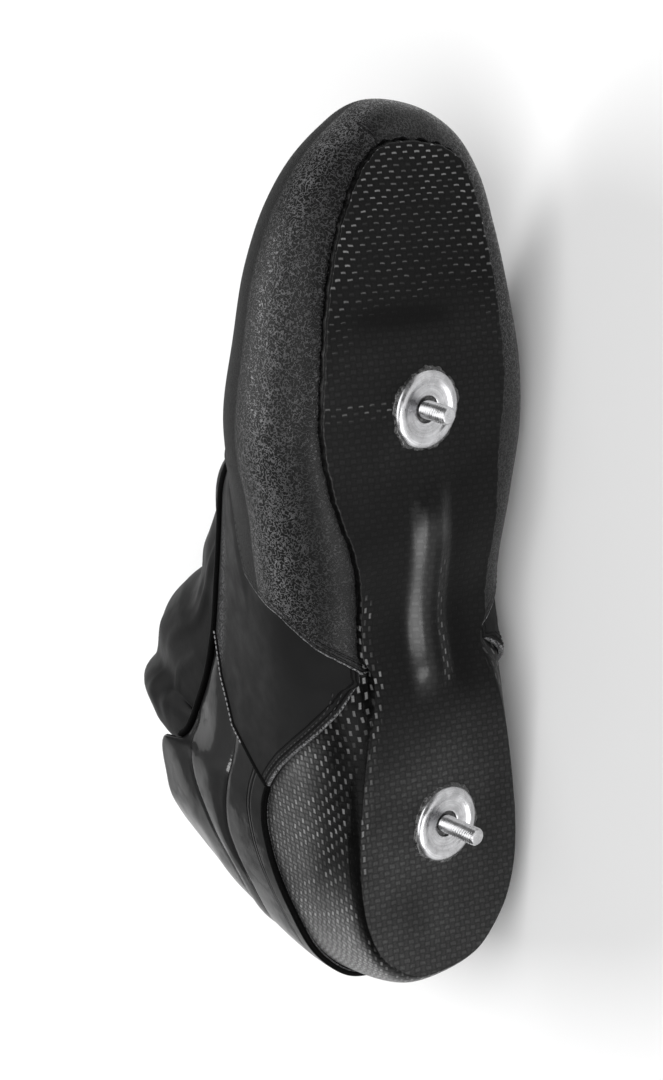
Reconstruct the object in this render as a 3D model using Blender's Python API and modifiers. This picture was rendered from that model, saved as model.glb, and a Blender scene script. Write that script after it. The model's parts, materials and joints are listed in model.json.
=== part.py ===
"""Low roller skate boot for the right foot, lying on its inner side on the floor.

Sizes are in millimetres in the boot's own frame, and become metres where a mesh is made.
X runs from the heel to the toe, Y to the inner side and Z up from the sole.
The two mounting studs stand on Y = 0.
"""
import math
from collections import namedtuple

import bmesh
import bpy
import numpy as np
from mathutils import Matrix, Vector

MM = 0.001
GAP = 0.3
MERGE = 0.002
SHARP_ANGLE = 40.0

# Studs and washers that carry the wheel plate
HEEL_STUD_X = 49.0
STUD_SPAN = 140.0
STUD_RADIUS = 2.95
STUD_CHAMFER = 0.6
BALL_STUD_LENGTH = 11.0
HEEL_STUD_LENGTH = 15.5
STUD_HOLE_RADIUS = STUD_RADIUS + GAP
STUD_HOLE_DEPTH = 20.0
ROUND_STEPS = 28

# Half section of a dished washer: a flat raised ring round a lower middle, depths from its back face
WasherPoint = namedtuple("WasherPoint", "radius depth")
WASHER = [
    WasherPoint(4.4, 0.0),
    WasherPoint(12.4, 0.0),
    WasherPoint(12.4, 0.5),
    WasherPoint(11.6, 1.2),
    WasherPoint(10.6, 1.5),
    WasherPoint(9.6, 1.5),
    WasherPoint(8.8, 1.2),
    WasherPoint(8.4, 0.8),
    WasherPoint(4.4, 0.7),
]

# Walls
LEATHER_WALL = 2.0
COLLAR_PADDING = 2.5
COLLAR_PADDING_X = (104.0, 80.0)
COLLAR_PADDING_Z = (60.0, 80.0)
CARBON_WALL = 2.2
CARBON_INSET = LEATHER_WALL + 1.5 * GAP
INSOLE_WALL = 3.0
INSOLE_INSET = 1.5
INSOLE_STEPS = 32
INSOLE_STEP_RUN = 12.0
INSOLE_SHARES = (0.0, 0.45, 0.8, 1.0)
HEEL_LIFT = 2.0

# Sole profile: flat under heel and ball, with an arch between them and a toe spring
ARCH_RISE = 4.6
ARCH_BACK_X = 84.0
ARCH_FRONT_X = 152.0
TOE_SPRING = 8.0
TOE_SPRING_X = 204.0
TOE_X = 270.0
RIB_HEIGHT = 2.6
RIB_HALF_WIDTH = 9.5
RIB_FLAT_SHARE = 0.15
RIB_BACK_X = 92.0
RIB_FRONT_X = 168.0

# Sole plate: it stands out under the lasted edge in front, and turns up inside the upper behind
PLATE_LIP = 1.5
PLATE_BACK_X = 105.0
PLATE_FRONT_X = 114.0
PLATE_STEPS = 25
PLATE_SHARES = (0.0, 0.12, 0.28, 0.62, 0.96)
PLATE_EDGE_ROUND = 0.35
SPINE_BACK_X = 20.0
SPINE_FRONT_X = 246.0
LASTED_MARGIN = 12.0
MARGIN_BACK_X = 105.5
MARGIN_FRONT_X = 108.5

# Heel counter: height of the leather's lower edge over it, and how far it runs up inside the leather
EdgePoint = namedtuple("EdgePoint", "x z")
LOWER_EDGE = [
    EdgePoint(96.0, 7.0),
    EdgePoint(72.0, 32.0),
    EdgePoint(62.5, 40.0),
    EdgePoint(50.0, 43.6),
    EdgePoint(38.0, 42.0),
    EdgePoint(18.0, 35.0),
    EdgePoint(-15.0, 28.0),
]
COUNTER_FRONT_X = 104.0
COUNTER_OVERLAP = 9.0
COUNTER_OVERLAP_RUN = 14.0
COUNTER_STEPS = 18
COUNTER_SHARES = (0.04, 0.2, 0.45, 0.75, 1.0)
COUNTER_TURN = 0.16
COUNTER_LIFT_RUN = 8.0
SEAT_SHARE = 0.02

# Throat: round front end, and the middle line of the top opening
THROAT_FRONT_X = 176.0
THROAT_ROUND = 24.0
MIDDLE_Y = -2.2
WIDE_SHARE = 0.4
WALL_LEAN = 1.45

# Panels: the front panel laps over the next one by this much
LAP = 0.9
LAP_RUN = 16.0
LAP_STEP = 0.5

# One row for each section from the toe to the heel: the sole's edge, the widest line and the top edge.
# Out is the outer side of the foot (minus Y) and in the inner side. top_half is half the opening.
Section = namedtuple(
    "Section",
    "sole_x sole_out sole_in wide_x wide_out wide_in wide_z top_x top_half top_z",
)
SECTIONS = [
    Section(270.0, -2.0, -2.0, 281.0, 4.5, 4.5, 23.0, 250.0, 0.0, 48.5),
    Section(267.3, -9.8, 12.0, 277.0, -7.0, 19.0, 23.0, 249.0, 26.0, 48.8),
    Section(261.3, -16.4, 22.6, 268.5, -20.7, 31.0, 22.5, 246.0, 26.0, 49.6),
    Section(249.0, -25.0, 26.7, 255.0, -33.0, 39.5, 22.0, 240.0, 26.0, 51.2),
    Section(233.0, -31.8, 28.8, 237.0, -42.0, 44.5, 22.0, 228.0, 26.0, 54.0),
    Section(212.0, -36.6, 30.8, 213.0, -47.5, 49.5, 22.5, 209.0, 26.0, 58.2),
    Section(188.0, -38.9, 31.6, 188.0, -51.5, 53.7, 23.0, 188.0, 26.0, 63.4),
    Section(168.0, -35.5, 28.3, 168.0, -49.5, 53.7, 24.0, 170.0, 26.0, 66.0),
    Section(148.0, -29.0, 26.5, 148.0, -47.0, 48.5, 26.5, 148.0, 26.5, 68.8),
    Section(125.0, -25.0, 24.5, 125.0, -43.5, 45.0, 28.5, 124.0, 26.5, 73.0),
    Section(103.0, -26.5, 24.0, 103.0, -41.3, 43.0, 30.0, 100.0, 26.5, 78.0),
    Section(82.0, -32.3, 28.8, 82.0, -40.5, 38.0, 31.5, 78.0, 26.5, 86.5),
    Section(65.0, -35.8, 31.4, 65.0, -40.3, 35.5, 32.0, 60.5, 28.2, 97.0),
    Section(55.0, -37.2, 32.2, 55.0, -40.2, 35.0, 32.5, 57.5, 29.3, 107.6),
    Section(42.0, -38.0, 32.8, 42.0, -40.0, 34.8, 33.0, 43.5, 29.5, 107.6),
    Section(21.0, -35.5, 30.5, 18.5, -37.3, 32.3, 33.0, 30.0, 26.0, 106.6),
    Section(7.2, -28.3, 23.6, 0.0, -29.8, 25.2, 33.0, 18.5, 18.0, 106.0),
    Section(-1.6, -18.4, 14.0, -9.6, -19.6, 15.6, 33.0, 12.5, 9.0, 105.5),
    Section(-4.6, -2.5, -2.5, -13.0, -2.5, -2.5, 33.0, 10.5, 0.0, 105.5),
]

# Where each panel's rear edge lies along the boot, by its height share from the lower to the top edge
SeamPoint = namedtuple("SeamPoint", "share x")
VAMP_SEAM = [
    SeamPoint(0.0, 107.0),
    SeamPoint(0.2, 116.5),
    SeamPoint(0.35, 127.0),
    SeamPoint(0.6, 136.0),
    SeamPoint(0.73, 160.0),
    SeamPoint(0.86, 184.0),
    SeamPoint(1.0, 198.0),
]
QUARTER_SEAM = [
    SeamPoint(0.0, 62.5),
    SeamPoint(0.09, 65.0),
    SeamPoint(0.56, 78.6),
    SeamPoint(0.83, 92.5),
    SeamPoint(1.0, 106.5),
]
VAMP_STEPS = 20
QUARTER_STEPS = 7
COLLAR_STEPS = 16
WALL_ROWS = 12

# The tongue's middle line from its root to its tip, half its width and how far its edges turn down
TongueRow = namedtuple("TongueRow", "x z half drop")
TONGUE = [
    TongueRow(184.0, 57.0, 15.0, 6.0),
    TongueRow(174.0, 61.5, 16.0, 8.0),
    TongueRow(166.5, 76.0, 19.5, 17.0),
    TongueRow(158.0, 87.5, 21.5, 26.0),
    TongueRow(147.0, 92.0, 22.0, 32.0),
    TongueRow(134.0, 97.0, 22.0, 36.0),
    TongueRow(123.0, 103.5, 23.0, 40.0),
    TongueRow(114.5, 106.5, 22.5, 42.0),
    TongueRow(105.5, 118.5, 22.6, 46.0),
    TongueRow(95.5, 129.0, 21.8, 46.0),
    TongueRow(80.5, 135.0, 21.4, 46.0),
    TongueRow(66.0, 143.5, 23.0, 48.5),
    TongueRow(56.0, 139.0, 21.5, 42.0),
]
TONGUE_CROWN = 0.7
TONGUE_WALL = 4.5
TONGUE_EDGE_SHARE = 0.4
TONGUE_STEPS = 24
TONGUE_COLUMNS = 11

# How squarely a face of the hull looks to the inner side if the boot can lie on it
INNER_SIDE_FACING = 0.8


def smooth(value, start, end):
    """Smooth step from 0 at start to 1 at end."""
    share = np.clip((value - start) / (end - start), 0.0, 1.0)
    return share * share * (3.0 - 2.0 * share)


class SmoothCurve:
    """Smooth curve through rows of numbers, one row at each knot."""

    def __init__(self, knots, rows):
        self.knots = np.asarray(knots, float)
        self.rows = np.asarray(rows, float)
        self.slopes = np.gradient(self.rows, self.knots, axis=0)

    def __call__(self, u):
        left = np.clip(np.searchsorted(self.knots, u, side="right") - 1, 0, len(self.knots) - 2)
        step = (self.knots[left + 1] - self.knots[left])[..., None]
        t = (u - self.knots[left])[..., None] / step
        return (
            self.rows[left] * (2 * t**3 - 3 * t**2 + 1)
            + self.slopes[left] * step * (t**3 - 2 * t**2 + t)
            + self.rows[left + 1] * (3 * t**2 - 2 * t**3)
            + self.slopes[left + 1] * step * (t**3 - t**2)
        )


class LoopCurve(SmoothCurve):
    """Smooth curve through rows of numbers that closes on itself after one lap."""

    def __init__(self, knots, rows, lap):
        super().__init__(np.concatenate([knots - lap, knots, knots + lap]), np.vstack([rows] * 3))
        self.lap = lap

    def __call__(self, u):
        return super().__call__(np.mod(u, self.lap))


def section_loop():
    """Closed curve of the sections: down the outer side from toe to heel, and back up the inner side."""
    outer = [(s.sole_x, s.sole_out, s.wide_x, s.wide_out, s.wide_z, s.top_x, -s.top_half, s.top_z)
             for s in SECTIONS]
    inner = [(s.sole_x, s.sole_in, s.wide_x, s.wide_in, s.wide_z, s.top_x, s.top_half, s.top_z)
             for s in SECTIONS]
    outer = np.array(outer)
    inner = np.array(inner)
    wide_steps = [np.linalg.norm(np.diff(side[:, 2:4], axis=0), axis=1) for side in (outer, inner)]
    along = np.append(0.0, np.cumsum(np.mean(wide_steps, axis=0)))
    half_lap = along[-1]
    knots = np.append(along, 2 * half_lap - along[-2:0:-1])
    rows = np.vstack([outer, inner[-2:0:-1]])
    return LoopCurve(knots, rows, 2 * half_lap), along, half_lap


LOOP, ALONG, HALF_LAP = section_loop()


def along_at_x(x):
    """Distance from the toe tip along the widest line to the section at x."""
    return np.interp(-np.asarray(x, float), [-s.wide_x for s in SECTIONS], ALONG)


def sole_height(x):
    """Height of the sole plate's underside."""
    arch = np.clip((x - ARCH_BACK_X) / (ARCH_FRONT_X - ARCH_BACK_X), 0.0, 1.0)
    spring = np.clip((x - TOE_SPRING_X) / (TOE_X - TOE_SPRING_X), 0.0, None)
    return ARCH_RISE * np.sin(math.pi * arch) ** 2 + TOE_SPRING * spring**1.7


def rib_depth(x, y):
    """How far the waist's stiffening rib stands out under the plate."""
    middle = (RIB_BACK_X + RIB_FRONT_X) / 2
    length = RIB_FRONT_X - RIB_BACK_X
    reach = 1.0 - smooth(np.abs(x - middle), length / 3, length / 2)
    return RIB_HEIGHT * reach * (1.0 - smooth(np.abs(y), RIB_HALF_WIDTH * RIB_FLAT_SHARE, RIB_HALF_WIDTH))


def frame_points(u):
    """Sole edge, widest point and top edge of the boot at u, and how far the top is closed."""
    sole_x, sole_y, wide_x, wide_y, wide_z, top_x, top_y, top_z = np.moveaxis(LOOP(u), -1, 0)
    lift = (CARBON_WALL + GAP) * smooth(sole_x, COUNTER_FRONT_X - COUNTER_LIFT_RUN, COUNTER_FRONT_X)
    end = np.clip((top_x - (THROAT_FRONT_X - THROAT_ROUND)) / THROAT_ROUND, 0.0, 1.0)
    opening = np.sqrt(1.0 - end**2)
    sole = np.stack([sole_x, sole_y, sole_height(sole_x) + lift], -1)
    wide = np.stack([wide_x, wide_y, wide_z], -1)
    top = np.stack([top_x, MIDDLE_Y + top_y * opening, top_z], -1)
    return sole, wide, top, end**2


def plan_out(u, first, reach=0.5):
    """Level direction out of the boot at u, square to its sole edge (first 0) or widest line (first 2)."""
    ahead = LOOP(u + reach)[..., first:first + 2]
    behind = LOOP(u - reach)[..., first:first + 2]
    run = ahead - behind
    out = np.stack([run[..., 1], -run[..., 0], np.zeros_like(run[..., 0])], -1)
    return -out / np.linalg.norm(out, axis=-1, keepdims=True)


def last_point(u, v):
    """Outer face of the last: u runs round the boot, v from the sole's edge (0) to the top edge (1)."""
    sole, wide, top, closed = frame_points(u)
    turn = np.clip(v / WIDE_SHARE, 0.0, 1.0) * math.pi / 2
    rise = np.clip((v - WIDE_SHARE) / (1.0 - WIDE_SHARE), 0.0, 1.0)
    level = closed * (1.0 - np.cos(rise * math.pi / 2)) + (1.0 - closed) * rise**WALL_LEAN
    height = closed * np.sin(rise * math.pi / 2) + (1.0 - closed) * rise
    lower = np.stack([np.sin(turn), np.sin(turn), 1.0 - np.cos(turn)], -1)
    upper = np.stack([level, level, height], -1)
    under = np.minimum(v, 0.0)[..., None] * LASTED_MARGIN * plan_out(u, 0)
    under[..., 2] = sole_height((sole + under)[..., 0]) - sole_height(sole[..., 0])
    return sole + (wide - sole) * lower + (top - wide) * upper + under


def last_normal(u, v, step_u=0.4, step_v=0.004):
    """Outward normal of the last at u, v, taken just below the top edge where v reaches it."""
    v = np.minimum(v, 1.0 - step_v)
    along = last_point(u + step_u, v) - last_point(u - step_u, v)
    up = last_point(u, v + step_v) - last_point(u, v - step_v)
    normal = np.cross(up, along)
    return normal / np.linalg.norm(normal, axis=-1, keepdims=True)


def share_at_height(u, z):
    """The v at which the side of the boot reaches height z, behind the throat's front end."""
    sole, wide, top, _ = frame_points(u)
    below = np.clip((z - sole[..., 2]) / (wide[..., 2] - sole[..., 2]), 0.0, 1.0)
    above = np.clip((z - wide[..., 2]) / (top[..., 2] - wide[..., 2]), 0.0, 1.0)
    return WIDE_SHARE * np.arccos(1.0 - below) / (math.pi / 2) + (1.0 - WIDE_SHARE) * above


def toe_distance(u):
    """Distance from the toe tip along either side."""
    u = np.mod(u, 2 * HALF_LAP)
    return np.minimum(u, 2 * HALF_LAP - u)


def edge_share(u):
    """The v of the leather's lower edge: at the sole in front, rising over the heel counter behind."""
    s = toe_distance(u)
    front = along_at_x(COUNTER_FRONT_X)
    start = sole_height(COUNTER_FRONT_X) + CARBON_WALL + GAP
    places = np.append(front, [along_at_x(point.x) for point in LOWER_EDGE])
    height = np.interp(s, places, [start] + [point.z for point in LOWER_EDGE])
    return np.where(s <= front, 0.0, share_at_height(u, height))


def seam_along(seam, share):
    """Distance from the toe tip of a panel's rear edge at a height share."""
    x = np.interp(share, [p.share for p in seam], [p.x for p in seam])
    return along_at_x(x)


def lap_depth(s, share):
    """How far a panel dips where it runs under the edge of the panel in front of it."""
    depth = np.zeros_like(s)
    for seam in (VAMP_SEAM, QUARTER_SEAM):
        behind = s - seam_along(seam, share)
        depth += np.where(behind > 0.0, LAP * np.clip(1.0 - behind / LAP_RUN, 0.0, 1.0), 0.0)
    return depth


def add_mesh(name, points, faces, material):
    """Closed solid from points in millimetres, with its doubles merged and its faces pointing out."""
    mesh = bpy.data.meshes.new(name)
    mesh.from_pydata([tuple(p * MM) for p in points], [], faces)
    body = bmesh.new()
    body.from_mesh(mesh)
    bmesh.ops.remove_doubles(body, verts=body.verts, dist=MERGE * MM)
    bmesh.ops.dissolve_degenerate(body, edges=body.edges, dist=MERGE * MM)
    bmesh.ops.recalc_face_normals(body, faces=body.faces)
    body.to_mesh(mesh)
    body.free()
    mesh.shade_smooth()
    mesh.set_sharp_from_angle(angle=math.radians(SHARP_ANGLE))
    mesh.materials.append(material)
    part = bpy.data.objects.new(name, mesh)
    PARTS.objects.link(part)
    return part


def wall_faces(columns, rows, wrap, low_open, top_open):
    """Faces of a wall between an outer and an inner grid, with a rim along each open edge."""
    grid = np.arange(columns * rows).reshape(columns, rows)
    outer_to_inner = columns * rows
    spans = [(i, (i + 1) % columns) for i in range(columns if wrap else columns - 1)]
    faces = []
    for i, k in spans:
        for j in range(rows - 1):
            quad = [grid[i, j], grid[k, j], grid[k, j + 1], grid[i, j + 1]]
            faces.append(quad)
            faces.append([p + outer_to_inner for p in reversed(quad)])
        for j, is_open in ((0, low_open), (rows - 1, top_open)):
            if is_open[i] or is_open[k]:
                a, b = grid[i, j], grid[k, j]
                faces.append([a, b, b + outer_to_inner, a + outer_to_inner])
    if not wrap:
        for i in (0, columns - 1):
            for j in range(rows - 1):
                a, b = grid[i, j], grid[i, j + 1]
                faces.append([a, b, b + outer_to_inner, a + outer_to_inner])
    return [[int(p) for p in face] for face in faces]


def add_wall(name, outer, inner, material, wrap=True, low_open=None, top_open=None):
    """Solid between two grids of points, each of shape (columns, rows, 3)."""
    columns, rows = outer.shape[:2]
    always = np.ones(columns, bool)
    low_open = always if low_open is None else low_open
    top_open = always if top_open is None else top_open
    faces = wall_faces(columns, rows, wrap, low_open, top_open)
    points = np.vstack([outer.reshape(-1, 3), inner.reshape(-1, 3)])
    return add_mesh(name, points, faces, material)


def both_sides(s):
    """Loop positions for toe distances s of shape (columns, rows): outer side, then inner side back."""
    back = 2 * HALF_LAP - s[-2:0:-1]
    return np.vstack([s, back])


def panel_columns(share):
    """Toe distances of the wall's columns at each height share: evenly spread inside each panel."""
    vamp = seam_along(VAMP_SEAM, share)
    quarter = seam_along(QUARTER_SEAM, share)
    start = np.zeros_like(share)
    end = np.full_like(share, HALF_LAP)
    panels = [(start, vamp, VAMP_STEPS), (vamp, quarter, QUARTER_STEPS), (quarter, end, COLLAR_STEPS)]
    columns = []
    for first, last, steps in panels:
        low = first + (LAP_STEP if first is not start else 0.0)
        high = last - (LAP_STEP if last is not end else 0.0)
        for i in range(steps + 1):
            columns.append(low + (high - low) * i / steps)
    return np.array(columns)


def ridge_normals(normals):
    """Mean of the two sides' normals along the ridge, where the sides meet."""
    mirrored = normals[-np.arange(len(normals)) % len(normals)]
    mean = normals + mirrored
    return mean / np.linalg.norm(mean, axis=-1, keepdims=True)


def make_upper(material):
    """Hollow leather wall, lasted under the sole plate in front and open at throat, collar and heel seat."""
    share = np.linspace(0.0, 1.0, WALL_ROWS + 1)
    s = panel_columns(share)
    u = both_sides(s)
    low = edge_share(u)
    v = low + (1.0 - low) * share
    margin = smooth(LOOP(u[:, :1])[..., 0], MARGIN_BACK_X, MARGIN_FRONT_X)
    u = np.hstack([u[:, :1], u])
    v = np.hstack([v[:, :1] - margin, v])
    share = np.append(0.0, share)
    point = last_point(u, v)
    normal = last_normal(u, v)
    closed = frame_points(u[:, -1])[3] >= 1.0
    normal[closed, -1] = ridge_normals(normal[:, -1])[closed]
    outer = point - normal * lap_depth(toe_distance(u), share)[..., None]
    padding = smooth(toe_distance(u), *along_at_x(COLLAR_PADDING_X))
    padding *= smooth(point[..., 2], *COLLAR_PADDING_Z)
    inner = point - normal * (LEATHER_WALL + COLLAR_PADDING * padding)[..., None]
    return add_wall("upper", outer, inner, material, top_open=~closed)


def spine_points(x):
    """Points on the sole's middle line, beside the sole's edge at x."""
    x = np.clip(x, SPINE_BACK_X, SPINE_FRONT_X)
    return np.stack([x, np.zeros_like(x), np.zeros_like(x)], -1)


def at_height(points, z):
    """The same points, moved to height z."""
    return np.concatenate([points[..., :2], z[..., None]], -1)


def make_carbon_base(material):
    """Sole plate with its rib, turned up into the heel counter."""
    counter_start = along_at_x(PLATE_BACK_X)
    plate_s = np.linspace(0.0, counter_start, PLATE_STEPS, endpoint=False)
    counter_s = np.linspace(counter_start, HALF_LAP, COUNTER_STEPS + 1)
    u = both_sides(np.append(plate_s, counter_s)[:, None])
    sole = frame_points(u)[0]
    out = plan_out(u, 0)
    rear = 1.0 - smooth(sole[..., :1], PLATE_BACK_X, PLATE_FRONT_X)
    edge = sole + out * (PLATE_LIP * (1.0 - rear) - CARBON_INSET * rear)
    inner_edge = edge - out * CARBON_WALL * rear

    spine = spine_points(sole[..., 0])
    shares = np.reshape(PLATE_SHARES, (1, -1, 1))
    bottom = spine + (edge - spine) * shares
    top = spine + (inner_edge - spine) * shares / shares.max()
    bottom = at_height(bottom, sole_height(bottom[..., 0]) - rib_depth(bottom[..., 0], bottom[..., 1]))
    top = at_height(top, sole_height(top[..., 0]) + CARBON_WALL)

    overlap = COUNTER_OVERLAP * np.clip((toe_distance(u) - counter_start) / COUNTER_OVERLAP_RUN, 0.0, 1.0)
    top_height = last_point(u, edge_share(u))[..., 2] + overlap
    v = share_at_height(u, top_height) * np.reshape(COUNTER_SHARES, (1, -1))
    wall_u = np.repeat(u, v.shape[1], axis=1)
    turned = smooth(v, 0.0, COUNTER_TURN)[..., None]
    outward = last_normal(wall_u, np.maximum(v, SEAT_SHARE)) * turned + plan_out(wall_u, 0) * (1.0 - turned)
    outward /= np.linalg.norm(outward, axis=-1, keepdims=True)
    side = last_point(wall_u, v)
    rim = sole_height(edge[..., 0])
    has_counter = (overlap > 0.0)[..., None]
    plate_outer = at_height(edge, rim + PLATE_EDGE_ROUND)
    plate_inner = at_height(edge, rim + CARBON_WALL)
    outer_wall = np.where(has_counter, side - outward * CARBON_INSET, plate_outer)
    inner_wall = np.where(has_counter, side - outward * (CARBON_INSET + CARBON_WALL), plate_inner)
    outer = np.concatenate([bottom, outer_wall], axis=1)
    inner = np.concatenate([top, inner_wall], axis=1)
    closed = np.zeros(len(u), bool)
    return add_wall("carbon_base", outer, inner, material, low_open=closed)


def make_insole(material):
    """Plain footbed on the lasted edge and the heel seat."""
    u = both_sides(np.linspace(0.0, HALF_LAP, INSOLE_STEPS + 1)[:, None])
    sole = frame_points(u)[0]
    rear = 1.0 - smooth(sole[..., :1], PLATE_BACK_X, MARGIN_FRONT_X)
    inset = INSOLE_INSET * (1.0 - rear) + (CARBON_INSET + CARBON_WALL + GAP) * rear
    edge = sole - plan_out(u, 0) * inset
    spine = spine_points(sole[..., 0])
    lower = spine + (edge - spine) * np.reshape(INSOLE_SHARES, (1, -1, 1))
    seat = sole_height(lower[..., 0]) + CARBON_WALL + GAP
    on_margin = smooth(lower[..., 0], MARGIN_BACK_X - INSOLE_STEP_RUN, MARGIN_BACK_X)
    lower = at_height(lower, seat + (LEATHER_WALL + 2 * GAP) * on_margin)
    upper = at_height(lower, seat + LEATHER_WALL + 2 * GAP + INSOLE_WALL + HEEL_LIFT * (1.0 - on_margin))
    closed = np.zeros(len(u), bool)
    return add_wall("insole", lower, upper, material, low_open=closed)


def make_tongue(material):
    """Padded tongue, arched across, from under the vamp up out of the throat."""
    rows = np.array(TONGUE)
    knots = np.append(0.0, np.cumsum(np.linalg.norm(np.diff(rows[:, :2], axis=0), axis=1)))
    length = np.linspace(0.0, knots[-1], TONGUE_STEPS + 1)
    x, z, half, drop = SmoothCurve(knots, rows)(length).T
    chord = SmoothCurve(knots[::2], rows[::2, :2])(length)
    run = np.gradient(chord, axis=0)
    run /= np.linalg.norm(run, axis=-1, keepdims=True)
    out = np.stack([run[:, 1], np.zeros_like(x), -run[:, 0]], -1)[:, None, :]
    bend = np.linspace(-math.pi / 2, math.pi / 2, TONGUE_COLUMNS)
    middle = np.stack([x, np.full_like(x, MIDDLE_Y), z], -1)[:, None, :]
    wall = TONGUE_WALL * (TONGUE_EDGE_SHARE + (1.0 - TONGUE_EDGE_SHARE) * np.cos(bend))
    faces = []
    for depth in (0.0, 1.0):
        sideways = (half[:, None] - depth * wall) * np.sin(bend)
        crown = np.maximum(np.cos(bend), 0.0) ** TONGUE_CROWN
        turned_down = drop[:, None] * (1.0 - crown) + depth * wall * np.cos(bend)
        faces.append(middle + sideways[..., None] * np.array([0.0, 1.0, 0.0]) - turned_down[..., None] * out)
    return add_wall("tongue", faces[0], faces[1], material, wrap=False)


def add_turned(name, profile, x, material, ring=False):
    """Solid turned about a vertical axis at x on the studs' line, from a profile of (radius, height)."""
    mesh = bpy.data.meshes.new(name)
    edges = [(i, i + 1) for i in range(len(profile) - 1)]
    if ring:
        edges.append((len(profile) - 1, 0))
    mesh.from_pydata([(r * MM, 0.0, z * MM) for r, z in profile], edges, [])
    mesh.materials.append(material)
    part = bpy.data.objects.new(name, mesh)
    part.location = (x * MM, 0.0, 0.0)
    PARTS.objects.link(part)
    turn = part.modifiers.new("Turn", "SCREW")
    turn.axis = "Z"
    turn.steps = ROUND_STEPS
    turn.render_steps = ROUND_STEPS
    turn.use_merge_vertices = True
    turn.merge_threshold = MERGE * MM
    return part


def make_stud(name, x, length, material):
    """Stud bonded into the sole plate, with a chamfered end."""
    profile = [
        (0.0, CARBON_WALL - GAP),
        (STUD_RADIUS, CARBON_WALL - GAP),
        (STUD_RADIUS, STUD_CHAMFER - length),
        (STUD_RADIUS - STUD_CHAMFER, -length),
        (0.0, -length),
    ]
    return add_turned(name, profile, x, material)


def make_washer(name, x, material):
    """Dished washer under the sole plate."""
    profile = [(point.radius, -GAP - point.depth) for point in WASHER]
    return add_turned(name, profile, x, material, ring=True)


def cut_stud_hole(base, x):
    """Hole through the sole plate for one stud."""
    bpy.ops.mesh.primitive_cylinder_add(
        vertices=ROUND_STEPS,
        radius=STUD_HOLE_RADIUS * MM,
        depth=STUD_HOLE_DEPTH * MM,
        location=(x * MM, 0.0, 0.0),
    )
    cutter = bpy.context.object
    cutter.name = f"stud_hole_cutter_{x:.0f}"
    for owner in cutter.users_collection:
        owner.objects.unlink(cutter)
    CUTTERS.objects.link(cutter)
    cutter.hide_render = True
    cutter.display_type = "WIRE"
    cut = base.modifiers.new("Stud hole", "BOOLEAN")
    cut.operation = "DIFFERENCE"
    cut.object = cutter
    return cutter


def make_material(name, colour, roughness, metallic=0.0):
    """Plain surface of one finish."""
    material = bpy.data.materials.new(name)
    material.use_nodes = True
    shader = material.node_tree.nodes["Principled BSDF"]
    shader.inputs["Base Color"].default_value = (*colour, 1.0)
    shader.inputs["Roughness"].default_value = roughness
    shader.inputs["Metallic"].default_value = metallic
    return material


def solid_corners(parts):
    """Corners of the finished solids in the boot's frame, in metres."""
    bpy.context.view_layer.update()
    depsgraph = bpy.context.evaluated_depsgraph_get()
    corners = []
    for part in parts:
        finished = part.evaluated_get(depsgraph)
        mesh = finished.to_mesh()
        corners += [finished.matrix_world @ vertex.co for vertex in mesh.vertices]
        finished.to_mesh_clear()
    return corners


def resting_turn(corners):
    """Turn that lays the boot on the flat side of its hull below the middle of its inner side."""
    hull = bmesh.new()
    for corner in corners:
        hull.verts.new(corner)
    bmesh.ops.convex_hull(hull, input=hull.verts)
    middle = sum(corners, Vector()) / len(corners)
    down = None
    for face in hull.faces:
        if face.normal.y < INNER_SIDE_FACING:
            continue
        foot = middle + face.normal * (face.calc_center_median() - middle).dot(face.normal)
        if bmesh.geometry.intersect_face_point(face, foot):
            down = face.normal.copy()
    hull.free()
    up = -down
    along = (Vector((1.0, 0.0, 0.0)) - up * up.x).normalized()
    return Matrix((along, up.cross(along), up))


def lay_down(parts):
    """Lay the boot on its inner side, with the middle of its box over the origin."""
    corners = solid_corners(parts)
    turn = resting_turn(corners)
    turned = [turn @ corner for corner in corners]
    low = Vector(min(c[i] for c in turned) for i in range(3))
    high = Vector(max(c[i] for c in turned) for i in range(3))
    shift = Vector((-(low.x + high.x) / 2, -(low.y + high.y) / 2, -low.z))
    rest = bpy.data.objects.new("boot_rest", None)
    PARTS.objects.link(rest)
    rest.matrix_world = Matrix.Translation(shift) @ turn.to_4x4()
    for part in parts:
        part.parent = rest
    bpy.context.view_layer.update()


def new_collection(name):
    """Empty collection in the scene."""
    collection = bpy.data.collections.new(name)
    bpy.context.scene.collection.children.link(collection)
    return collection


for leftover in list(bpy.data.objects):
    bpy.data.objects.remove(leftover)
PARTS = new_collection("roller_skate_boot")
CUTTERS = new_collection("cutters")

leather = make_material("black_leather", (0.018, 0.018, 0.019), 0.5)
padded_leather = make_material("tongue_leather", (0.022, 0.022, 0.023), 0.4)
carbon = make_material("carbon_laminate", (0.015, 0.015, 0.016), 0.25)
footbed = make_material("footbed_felt", (0.06, 0.06, 0.06), 0.9)
steel = make_material("zinc_steel", (0.62, 0.62, 0.63), 0.35, 1.0)

ball_stud_x = HEEL_STUD_X + STUD_SPAN
base = make_carbon_base(carbon)
holes = [cut_stud_hole(base, HEEL_STUD_X), cut_stud_hole(base, ball_stud_x)]
boot = [
    base,
    make_upper(leather),
    make_tongue(padded_leather),
    make_insole(footbed),
    make_washer("heel_washer", HEEL_STUD_X, steel),
    make_washer("ball_washer", ball_stud_x, steel),
    make_stud("heel_stud", HEEL_STUD_X, HEEL_STUD_LENGTH, steel),
    make_stud("ball_stud", ball_stud_x, BALL_STUD_LENGTH, steel),
]
lay_down(boot + holes)
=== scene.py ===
import json
import math

import bmesh
import bpy
import numpy as np
from mathutils import Matrix


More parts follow.
